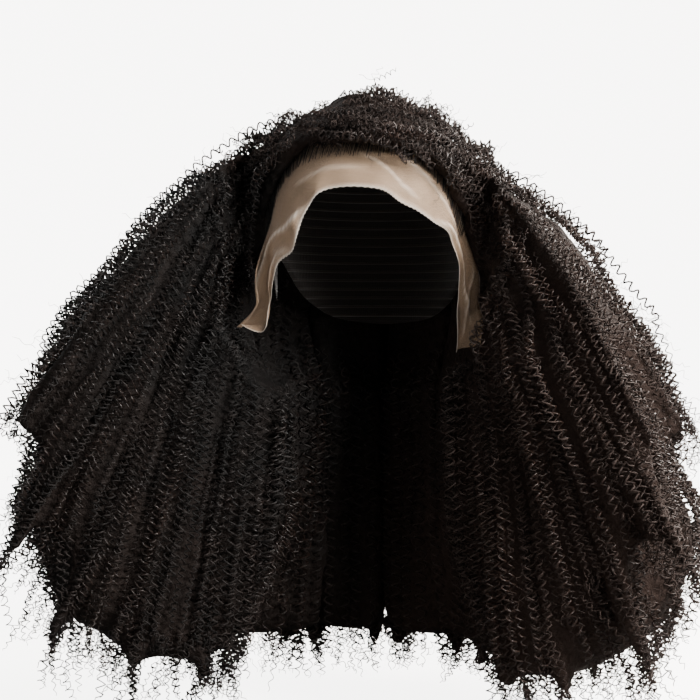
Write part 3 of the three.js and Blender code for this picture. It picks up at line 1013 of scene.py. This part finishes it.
def mass_piece(node):
    """The dense inner body of one section, drawn in from the outer form to leave room for coils."""
    sizes = settings("wig_strands")
    tree = hair_skin()[0]
    obj = remeshed(merged_copy([node], node + "_mass"), MASS_VOXEL, 2)
    whole = BVHTree.FromPolygons(
        [v.co.copy() for v in obj.data.vertices], [tuple(p.vertices) for p in obj.data.polygons]
    )
    pushes = []
    for vertex in obj.data.vertices:
        found, normal, _, away = tree.find_nearest(vertex.co)
        thick = [whole.ray_cast(vertex.co - way * 0.0005, -way)[3] for way in (vertex.normal, normal)]
        outside = (vertex.co - found).dot(normal) > -0.001
        open_skin = 1 if outside else ease(0.012, 0.005, away)
        open_skin *= ease(0.004, 0.010, above_head(vertex.co))
        tip = 0.018 * ease(0.3, 0.9, hair_flow(vertex.co).dot(normal))
        tip *= ease(0.012, 0.003, short_of_outline(vertex.co))
        fill = filled(vertex.co, vertex.normal, 0.5)
        depth = max(0.004, sizes.mass_depth + tip - clump_lift(vertex.co))
        near = above_head(found)
        room = max(0.42 * min(t or 0.0 for t in thick), 0.6 * ease(0.06, 0.03, near) * near)
        back = found - vertex.co if outside else Vector()
        pushes.append(back - normal * open_skin * min(depth, room) + fill)
    pushes = spread_out(np.array(pushes), obj.data.edge_keys, 5)
    for vertex, push in zip(obj.data.vertices, pushes):
        vertex.co += Vector(push)
    softened(obj, 5)
    shades = []
    for vertex in obj.data.vertices:
        tuck_in(vertex)
        vertex.co += vertex.normal * 0.0016 * noise.noise(vertex.co * 90)
        vertex.co = clear_of_head(vertex.co, 0.0032)
        # The mass's shade carries the same painted backlight and side light as the strands
        shades.append(max(0.0, brown_and_painted_light(vertex.co)))
    store(obj, "shade", shades)
    obj.data.materials.append(mass_finish())
    smooth_shaded(obj)
    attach(obj, BODY)
    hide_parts(node)
    return obj


def lifted(row, lift, wander, rng):
    """A row's places moved off the skin by lift, wandering slowly up and down."""
    phase = Vector(rng.uniform(-50, 50, 3))
    places = []
    for k, (place, normal) in enumerate(row):
        wave = noise.noise(place * 22 + phase)
        sway = noise.noise(place * 34 - phase)
        along = row[min(k + 1, len(row) - 1)][0] - row[max(k - 1, 0)][0]
        sideways = along.cross(normal).normalized()
        rise = lift + wander * wave + clump_lift(place)
        place = place + normal * rise + sideways * (1.6 * wander * sway)
        places.append(clear_of_head(place, 0.0062 + 0.5 * wander * wave))
    return places


def coil_rows():
    """All the rows of coils by section."""
    sizes = settings("wig_strands")
    rng = np.random.default_rng(sizes.seed)
    guides = {name: Guides() for name in HAIR_NODES}
    layers = [
        # spacing, tries, longest run, lift, wander, coil size, where
        (sizes.row_spacing, 30000, 0.42, -0.0035, 0.002, 1.0, facing_out),
        (sizes.inner_spacing, 6000, 0.42, -0.0035, 0.002, 1.2, facing_in),
        (sizes.top_spacing, 8000, 0.30, 0.0005, 0.003, 1.15, facing_out),
        (sizes.front_spacing, 9000, 0.16, -0.002, 0.003, 0.9, combed_over),
    ]
    for spacing, tries, longest, lift, wander, size, where in layers:
        for row, free in traced_rows(spacing, tries, longest, rng, where):
            path = lifted(row, lift, wander, rng)
            if free:
                path += free_tip(path[-1], path[-2], row[-1][1], rng)
            path = [p for p in path if inside_box(p)]
            middle = row[len(row) // 2][0]
            near_neck = ease(0.15, 0.09, math.hypot(middle.x, middle.y)) * ease(-0.15, -0.2, middle.z)
            coil = sizes.coil_radius * size * (1 + 0.3 * near_neck) * rng.uniform(0.85, 1.12)
            pitch = sizes.coil_pitch * size * (1 + 0.35 * near_neck)
            guides[section_of(middle)].add(path, pitch, coil, sizes.strand_radius * size, rng)
    return guides


def edge_rows(rng):
    """Rows of coils down both temples, next to the lace."""
    sizes = settings("wig_strands")
    guides = Guides()
    turns, falls = zip(*HAIRLINE)
    for side in (-1, 1):
        for k in range(7):
            path = []
            for fall in np.arange(0.043 + rng.uniform(0, 0.006), 0.158, 0.005):
                turn = float(np.interp(fall, falls, turns)) + 1.5 + 2.4 * k + rng.uniform(-0.3, 0.3)
                lift = 0.0125 + 0.0022 * k + 0.002 * noise.noise(Vector((fall * 40, k, side)))
                path.append(on_head(side * turn, fall, lift * ease(0.025, 0.055, fall) + 0.004))
            guides.add(path, sizes.coil_pitch, sizes.coil_radius * 0.85, sizes.strand_radius, rng)
    return guides


def curl_path(start, way, length, rng, hang=0.12, bend=0.35):
    """Places of one free curl: it wanders, and hangs a little."""
    turn = Vector(rng.normal(0, bend, 3))
    places, at = [start], start
    for _ in range(max(3, int(length / STEP))):
        way = (way + turn * 0.3 + Vector((0, 0, -hang))).normalized()
        turn = (turn + Vector(rng.normal(0, bend * 0.4, 3))) * 0.9
        at = at + way * STEP
        if not inside_box(at):
            break
        places.append(at)
    return places


def tip_curls(rng):
    """Fine curls where the hair's ends face outwards, by half of the head."""
    sizes = settings("wig_strands")
    guides = {"left": Guides(), "right": Guides()}
    made = 0
    for place, normal in scattered(sizes.tip_curls * 14, rng):
        if made >= sizes.tip_curls:
            break
        flow = hair_flow(place)
        steep = flow.dot(normal)
        if steep < rng.uniform(0.05, 0.8) or above_head(place) < 0.03:
            continue
        way = (flow + normal * 0.3 + Vector(rng.normal(0, 0.28, 3))).normalized()
        longer = 1 + 0.5 * ease(-0.15, -0.25, place.x) * ease(-0.28, -0.35, place.z)
        length = rng.uniform(0.014, 0.038) * longer + 0.5 * short_of_outline(place)
        path = curl_path(place - normal * rng.uniform(0.004, 0.014), way, length, rng)
        guides["left" if place.x > 0 else "right"].add(
            path,
            rng.uniform(0.0050, 0.0078),
            rng.uniform(0.0018, 0.0036),
            rng.uniform(0.00036, 0.0006),
            rng,
            ends=(0.8, 0.5),
        )
        made += 1
    return guides


def front_curls(rng):
    """Small tight curls that roughen the hair combed over the front."""
    sizes = settings("wig_strands")
    guides = Guides()
    for place, normal in scattered(sizes.front_curls * 22, rng):
        if len(guides.edges) > sizes.front_curls * 4 or front_share(place) < 0.5 or bare(place):
            continue
        if place.z > -0.006 and rng.random() < 0.7:
            continue
        way = hair_flow(place) + normal * rng.uniform(0.0, 0.5) + Vector(rng.normal(0, 0.4, 3))
        length = rng.uniform(0.012, 0.026)
        path = curl_path(place - normal * 0.003, way.normalized(), length, rng, 0.08, 0.5)
        guides.add(
            path,
            rng.uniform(0.004, 0.006),
            rng.uniform(0.0014, 0.0026),
            rng.uniform(0.0003, 0.0005),
            rng,
            shade=0.75,
            ends=(0.9, 0.6),
        )
    return guides


def fly_aways(rng):
    """Short thin hairs over the whole outline."""
    sizes = settings("wig_strands")
    guides = Guides()
    for place, normal in scattered(sizes.fly_aways * 2, rng):
        if len(guides.edges) > sizes.fly_aways * 5 or above_head(place) < 0.008:
            continue
        on_slope = 0.05 < place.x < 0.24 and -0.2 < place.z < -0.02
        if rng.random() > (1.0 if on_slope else 0.15 if place.z > -0.01 else 0.5):
            continue
        way = hair_flow(place) * 0.7 + normal * rng.uniform(0.2, 1.0) + Vector(rng.normal(0, 0.35, 3))
        path = curl_path(place, way.normalized(), rng.uniform(0.012, 0.026), rng, 0.05, 0.5)
        guides.add(
            path, rng.uniform(0.006, 0.011), rng.uniform(0.001, 0.0028), 0.00021, rng, ends=(1, 0.6)
        )
    return guides


def standing_off(points, gap):
    """A smooth path through points, kept at least gap off the hair's skin."""
    tree = hair_skin()[0]
    table = [tuple(p) for p in points]
    count = max(12, int(sum(math.dist(a, b) for a, b in zip(table, table[1:])) / STEP))
    path = []
    for k in range(count + 1):
        share = k / count
        place = Vector(smooth_row(table, share))
        found, normal, _, _ = tree.find_nearest(place)
        want = gap * ease(0, 0.3, share)
        off = (place - found).dot(normal)
        if off < want or off > want + 0.006:
            place = found + normal * want
        path.append(place)
    return [p for p in path if inside_box(p)]


def loose_ringlets(rng):
    """Two long strands that stand off the outline, one on each side."""
    guides = Guides()
    left = [(0.103, -0.03, -0.063), (0.15, -0.03, -0.098), (0.2, -0.025, -0.14), (0.246, -0.02, -0.19)]
    right = [
        (-0.056, -0.02, -0.011),
        (-0.135, -0.02, -0.047),
        (-0.214, -0.02, -0.126),
        (-0.27, -0.01, -0.206),
    ]
    for points, gap, shade in ((left, 0.005, 0.5), (right, 0.0055, 0.4)):
        path = standing_off(points, gap)
        guides.add(path, 0.0078, 0.0026, 0.0008, rng, shade=shade, ends=(0.9, 0.6))
    return guides


def hairline_roots(rng):
    """Short straight hairs where the first rows are knotted in the lace."""
    guides = Guides()
    for turn in np.linspace(-66, 66, 160):
        fall = hairline_fall(turn) + rng.uniform(0.004, 0.0095)
        lean = 0.5 if turn > PARTING_TURN else -0.5
        path = [
            on_head(turn + lean * k + rng.uniform(-0.15, 0.15), fall - 0.0035 * k, 0.0024 + 0.0009 * k)
            for k in range(5)
        ]
        guides.add(path, 0.03, 0.0002, rng.uniform(0.00026, 0.00044), rng, shade=0.0, ends=(0.7, 1))
    return guides


# ---- Lace and cap


def pleated(along, down):
    """(height, crease) of the lace's pleats there: height in metres, crease from 0 to 1 as a painted
    highlight along each fold.
    """
    height = crease = 0.0
    for along_a, down_a, along_b, down_b, tall, highlight in PLEATS:
        share = (along - along_a) / (along_b - along_a)
        if 0 < share < 1:
            fade = ease(0, 0.2, share) * ease(1, 0.75, share)
            off = down - down_a - (down_b - down_a) * share - 0.07 * math.sin(math.pi * share)
            height += tall * fade * math.exp(-((off / 0.075) ** 2))
            crease += highlight * fade * math.exp(-((off / 0.022) ** 2))
    return height, min(1.0, crease)


def lace_place(along, down, sizes):
    """A place on the lace: along from the wearer's right ear to the left, down from the seam."""
    sewn = smooth_row(SEAM, along) * (1, CAP_DEPTH, LACE_FLARE)
    edge = smooth_row(FREE_EDGE, along) * (1, LACE_DROP, LACE_FLARE)
    turn, fall, off = sewn + (edge - sewn) * down
    loose = ease(0.25, 1.0, down)
    sway = math.sin(along * 61 + 3 * noise.noise((along * 9, down * 2, 0)))
    ripple = noise.noise((along * 26, down * 5, 4.2))
    lift = LACE_WALL / 2 + sizes.fold_height * loose * (0.4 + 0.25 * sway + 0.5 * ripple)
    by_ear = LACE_STAND * ease(0.08, 0.14, fall) + 0.01 * ease(0.15, 0.18, fall)
    by_ear *= ease(0.75, 0.15, down)
    return on_head(turn, fall, max(0, off) + max(0.0003, lift + pleated(along, down)[0] + by_ear))


def lace_piece():
    """The sheer lace band with its pinked edge and soft folds."""
    sizes = settings("wig_lace")
    columns, rows = 2 * sizes.teeth + 1, 28
    places, dense = [], []
    for i in range(columns):
        along = i / (columns - 1)
        tooth = sizes.tooth * (i % 2) / 0.1
        for j in range(rows):
            down = j / (rows - 1)
            if j == rows - 1:
                down -= tooth
            places.append(lace_place(along, down, sizes))
            # dense: thicker net along the hem and folds, and also a painted highlight there
            hem = ease(0.95, 0.99, down) + ease(0.03, 0.0, down) * ease(0.075, 0.1, -places[-1].z)
            dense.append(min(1.0, 0.9 * hem + 0.85 * pleated(along, down)[1]))
    faces = [
        (i * rows + j, i * rows + j + 1, (i + 1) * rows + j + 1, (i + 1) * rows + j)
        for i in range(columns - 1)
        for j in range(rows - 1)
    ]
    obj = mesh_object("lace_front_mesh", places, faces)
    store(obj, "dense", dense)
    weave = obj.data.uv_layers.new(name="weave")
    for loop in obj.data.loops:
        i, j = divmod(loop.vertex_index, rows)
        weave.data[loop.index].uv = (
            i / (columns - 1) * WEAVE_SIZE[0],
            j / (rows - 1) * WEAVE_SIZE[1],
        )
    area = sum(p.area for p in obj.data.polygons)
    wall = obj.modifiers.new("thickness", "SOLIDIFY")
    wall.thickness = sizes.thickness
    wall.offset = 0
    baked(obj)
    smooth_shaded(obj)
    obj.data.materials.append(lace_finish())
    return obj, area


@functools.cache
def lace_finish():
    """Nude lace: a see-through net of fine threads, denser along folds and the cut edge, and painted paler
    there as a highlight.
    """
    sizes = settings("wig_lace")
    material, shader = new_material("nude lace", 0.62, 0.35, Sheen_Weight=0.3)
    tree = material.node_tree
    uv = new_node(tree, "ShaderNodeUVMap", uv_map="weave")
    feeds = {"Vector": uv.outputs["UV"], "Scale": NET_SCALE, "Randomness": 0.25}
    holes = new_node(tree, "ShaderNodeTexVoronoi", feeds, feature="DISTANCE_TO_EDGE").outputs["Distance"]
    limits = {"From Min": 0.05, "From Max": 0.22, "To Min": 0.56, "To Max": 0.14}
    thread, dense = ranged(tree, holes, limits), mesh_value(tree, "dense")
    closed = maths(tree, "MULTIPLY_ADD", dense, 0.5, thread, clamp=True)
    tree.links.new(closed, shader.inputs["Alpha"])
    # Painted highlight: the lace turns pale along folds and hem
    colour = mixed(tree, dense, tone(sizes.colour), tone(sizes.fold_highlight_colour))
    tree.links.new(colour, shader.inputs["Base Color"])
    bumped(material, shader, holes, 0.0001, 0.5)
    return material


def cap_edge(turn):
    """Fall of the cap's lower edge at a turn from -180 to 180."""
    turn = abs(turn)
    if turn < 80:
        rows = [(row[0], row[1]) for row in SEAM[7:13]]
        turns, falls = zip((0, SEAM[7][1]), *rows)
        return float(np.interp(turn, turns, falls)) * CAP_DEPTH
    turns, falls = zip(*NAPE_EDGE)
    around = [180 - abs(180 - turn - step) for step in (-8, -4, 0, 4, 8)]
    soft = float(np.mean(np.interp(around, turns, falls)))
    sharp = float(np.interp(turn, turns, falls))
    return (sharp + (soft - sharp) * ease(95, 108, turn)) * CAP_DEPTH


def cap_piece():
    """The net cap: a thin dome, cut along the lace, over the ears and round the nape."""
    columns, rows = 112, 26
    corners = {turn * 1.0 for turn, *_ in [*SEAM[1:13], *NAPE_EDGE]}
    turns = sorted({-180 + 360 * k / columns for k in range(columns)} | corners | {-t for t in corners})
    turns = [t for t in turns if -180 <= t < 180]
    places, faces = [], []
    for lift in (0.0004, CAP_WALL - 0.0001):
        places.append(on_head(0, 0, lift))
        for turn in turns:
            fall = cap_edge(turn) - 0.0004
            for j in range(1, rows):
                share = 1 - math.cos(j / (rows - 1) * math.pi / 2)
                places.append(on_head(turn, fall * share, lift))
    size, ring = 1 + len(turns) * (rows - 1), rows - 1
    for i in range(len(turns)):
        a, b = 1 + i * ring, 1 + (i + 1) % len(turns) * ring
        faces.append((0, b, a))
        faces.append((size, size + a, size + b))
        for j in range(ring - 1):
            faces.append((a + j, b + j, b + j + 1, a + j + 1))
            faces.append((size + a + j, size + a + j + 1, size + b + j + 1, size + b + j))
        low_a, low_b = a + ring - 1, b + ring - 1
        faces.append((low_a, low_b, size + low_b, size + low_a))
    obj = mesh_object("cap_net_shell", places, faces)
    form = bmesh.new()
    form.from_mesh(obj.data)
    bmesh.ops.recalc_face_normals(form, faces=form.faces)
    form.to_mesh(obj.data)
    form.free()
    obj.data.materials.append(net_finish())
    return smooth_shaded(obj)


@functools.cache
def net_finish():
    """Black stretch net with sewn rows of weft."""
    sizes = settings("wig_cap")
    material, shader = new_material("black net", 0.8, 0.3, Sheen_Weight=0.2)
    tree = material.node_tree
    place = place_in(tree)
    feeds = {"Vector": place, "Scale": 520, "Randomness": 0.2}
    net = new_node(tree, "ShaderNodeTexVoronoi", feeds, feature="DISTANCE_TO_EDGE")
    height = new_node(tree, "ShaderNodeSeparateXYZ", {"Vector": place}).outputs["Z"]
    wave = maths(tree, "SINE", maths(tree, "MULTIPLY", height, 2 * math.pi / sizes.weft_spacing))
    weft = ranged(tree, wave, {"From Min": 0.55, "From Max": 0.9})
    colour = mixed(tree, weft, tone(sizes.colour), tone(sizes.colour, 2.6))
    tree.links.new(colour, shader.inputs["Base Color"])
    total = maths(tree, "MULTIPLY_ADD", weft, 2.0, net.outputs["Distance"])
    bumped(material, shader, total, 0.0006)
    return material


# ---- Stage


def paper_finish(colour):
    """Pale paper, bright where the camera sees it and most so far out, but dim to the hair."""
    material, shader = new_material("pale paper", 0.9, 0.2)
    tree = material.node_tree
    place = place_in(tree)
    cloud = new_node(tree, "ShaderNodeTexNoise", {"Vector": place, "Scale": 1.3})
    pale = mixed(tree, cloud.outputs["Fac"], tone(colour, 0.985), tone(colour, 1.015))
    seen = new_node(tree, "ShaderNodeLightPath").outputs["Is Camera Ray"]
    paper = mixed(tree, seen, tone(colour, PAPER_BOUNCE), pale)
    tree.links.new(paper, shader.inputs["Base Color"])
    away = new_node(tree, "ShaderNodeVectorMath", {0: place}, operation="LENGTH").outputs["Value"]
    limits = {"From Min": 0.5, "From Max": 1.8, "To Min": 0.8}
    far = ranged(tree, away, limits, interpolation_type="SMOOTHSTEP")
    glow = mixed(tree, maths(tree, "MULTIPLY", far, seen), (0, 0, 0, 1), tone(colour))
    tree.links.new(glow, shader.inputs["Emission Color"])
    shader.inputs["Emission Strength"].default_value = 8.0
    return material


def backdrop_piece(floor, colour):
    """A floor that curves up into a back wall all round, as one pale sheet."""
    reach, bend, tall, around = 2.6, 1.1, 3.4, 64
    profile = [(0.0, 0.0), (0.5, 0.0), (1.0, 0.0), (reach - bend, 0.0)]
    for k in range(1, 9):
        angle = k / 8 * math.pi / 2
        profile.append((reach - bend + bend * math.sin(angle), bend - bend * math.cos(angle)))
    profile.append((reach, tall))
    places = [(0, 0, floor)]
    for i in range(around):
        angle = 2 * math.pi * i / around
        places += [(r * math.sin(angle), -r * math.cos(angle), floor + z) for r, z in profile[1:]]
    ring = len(profile) - 1
    faces = []
    for i in range(around):
        a, b = 1 + i * ring, 1 + (i + 1) % around * ring
        faces.append((0, a, b))
        faces += [(a + j, a + j + 1, b + j + 1, b + j) for j in range(ring - 1)]
    obj = smooth_shaded(mesh_object("studio_paper", places, faces))
    obj.data.materials.append(paper_finish(colour))


def area_light(name, place, target, size, power, colour=(1, 1, 1)):
    """A soft square light aimed at a target."""
    light = bpy.data.lights.new(name, "AREA")
    light.size, light.energy, light.color = size, power, colour
    obj = in_scene(name, light)
    obj.visible_camera = False
    obj.location = place
    obj.rotation_euler = (Vector(target) - Vector(place)).to_track_quat("-Z", "Y").to_euler()


def camera_piece(sizes):
    """The camera in front of the face, a little to the wearer's left and aimed slightly down."""
    lens = bpy.data.cameras.new("camera")
    lens.sensor_width, lens.lens = 36, 63.9
    obj = in_scene("camera", lens)
    turn, away = sizes.camera_turn, sizes.camera_distance
    obj.location = (away * math.sin(turn), -away * math.cos(turn), -0.150)
    obj.rotation_euler = (math.radians(90 - 2.3), 0, turn + math.radians(0.92))
    bpy.context.scene.camera = obj


# ---- Operators


class WIG_OT_hair_mass(bpy.types.Operator):
    """Makes the dense inner body of every section of hair"""

    bl_idname = "wig.hair_mass"
    bl_label = "Dense Hair"

    def execute(self, context):
        for node in HAIR_NODES:
            mass_piece(node)
        return {"FINISHED"}


class WIG_OT_coils(bpy.types.Operator):
    """Winds rows of coils over every section of hair"""

    bl_idname = "wig.coils"
    bl_label = "Coils"

    def execute(self, context):
        sizes = context.scene.wig_strands
        for node, guides in coil_rows().items():
            strands(node + "_coils", guides, hair_finish("coiled hair"), sizes.coil_pitch / 3.7)
        edges = edge_rows(np.random.default_rng(sizes.seed + 3))
        strands("temple_edge_coils", edges, hair_finish("coiled hair"), sizes.coil_pitch / 5)
        return {"FINISHED"}


class WIG_OT_frizz(bpy.types.Operator):
    """Adds fine curls at the tips and fly-away hairs"""

    bl_idname = "wig.frizz"
    bl_label = "Frizz"

    def execute(self, context):
        rng = np.random.default_rng(context.scene.wig_strands.seed + 1)
        # Fine curls painted lighter, as backlight shining through them
        finish = hair_finish("fine curls", lighter=1.15, gloss=0.5)
        for side, guides in tip_curls(rng).items():
            strands(f"tip_curls_{side}", guides, finish, 0.0017)
        strands("front_curls", front_curls(rng), finish, 0.0012)
        strands("fly_aways", fly_aways(rng), finish, 0.0027)
        return {"FINISHED"}


class WIG_OT_ringlets(bpy.types.Operator):
    """Adds the loose ringlets and the short roots along the hairline"""

    bl_idname = "wig.ringlets"
    bl_label = "Ringlets and Roots"

    def execute(self, context):
        rng = np.random.default_rng(context.scene.wig_strands.seed + 2)
        strands("loose_ringlets", loose_ringlets(rng), hair_finish("coiled hair"), 0.0012)
        strands("hairline_roots", hairline_roots(rng), hair_finish("coiled hair"), 0.003)
        return {"FINISHED"}


class WIG_OT_lace(bpy.types.Operator):
    """Makes the sheer lace front"""

    bl_idname = "wig.lace"
    bl_label = "Lace Front"

    def execute(self, context):
        obj, area = lace_piece()
        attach(obj, BODY)
        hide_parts("lace_front")
        return {"FINISHED"}


class WIG_OT_cap(bpy.types.Operator):
    """Makes the net cap"""

    bl_idname = "wig.cap"
    bl_label = "Net Cap"

    def execute(self, context):
        obj = cap_piece()
        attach(obj, BODY)
        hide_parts("cap_net")
        return {"FINISHED"}


class WIG_OT_stage(bpy.types.Operator):
    """Sets up the floor, soft lights and camera"""

    bl_idname = "wig.stage"
    bl_label = "Stage"

    def execute(self, context):
        sizes = context.scene.wig_stage
        backdrop_piece(CAD_BOX[0][2] - sizes.floor_gap, sizes.backdrop)
        middle = (0, 0, -0.2)
        area_light("key", (0.85, -0.6, 0.35), middle, 0.4, sizes.key_power, (1, 0.96, 0.92))
        area_light("fill", (-0.8, -0.8, 0.2), middle, 0.4, sizes.key_power * 0.065)
        area_light("rim_left", (0.85, 0.65, 0.35), middle, 0.5, sizes.rim_power, (1, 0.93, 0.87))
        area_light("rim_right", (-0.85, 0.65, 0.35), middle, 0.5, sizes.rim_power * 0.18)
        area_light("top", (0.2, -0.2, 0.95), middle, 0.6, sizes.key_power * 0.08)
        world = bpy.data.worlds.new("studio")
        world.use_nodes = True
        sky = world.node_tree.nodes["Background"].inputs
        sky["Color"].default_value = (1, 0.985, 0.965, 1)
        sky["Strength"].default_value = 0.3
        context.scene.world = world
        camera_piece(sizes)
        return {"FINISHED"}


class WIG_PT_panel(bpy.types.Panel):
    """Sizes and steps of the wig"""

    bl_label = "Wig"
    bl_space_type = "VIEW_3D"
    bl_region_type = "UI"
    bl_category = "Wig"

    def draw(self, context):
        for group in GROUPS:
            values = getattr(context.scene, group)
            box = self.layout.box()
            for name in values.__annotations__:
                box.prop(values, name)
        for operator in OPERATORS:
            self.layout.operator(operator.bl_idname)


GROUPS = {
    "wig_strands": StrandSettings,
    "wig_lace": LaceSettings,
    "wig_cap": CapSettings,
    "wig_stage": StageSettings,
}
OPERATORS = [
    WIG_OT_stage,
    WIG_OT_cap,
    WIG_OT_lace,
    WIG_OT_hair_mass,
    WIG_OT_coils,
    WIG_OT_frizz,
    WIG_OT_ringlets,
]


def register():
    """Adds the wig's classes and settings to Blender."""
    for cls in [*GROUPS.values(), *OPERATORS, WIG_PT_panel]:
        bpy.utils.register_class(cls)
    for name, cls in GROUPS.items():
        setattr(bpy.types.Scene, name, bpy.props.PointerProperty(type=cls))


def unregister():
    """Takes them out again."""
    for name in GROUPS:
        delattr(bpy.types.Scene, name)
    for cls in reversed([*GROUPS.values(), *OPERATORS, WIG_PT_panel]):
        bpy.utils.unregister_class(cls)


def main():
    """Builds the whole scene."""
    register()
    bpy.ops.wig.stage()
    bpy.ops.wig.cap()
    bpy.ops.wig.lace()
    bpy.ops.wig.hair_mass()
    bpy.ops.wig.coils()
    bpy.ops.wig.frizz()
    bpy.ops.wig.ringlets()


if __name__ == "__main__":
    main()
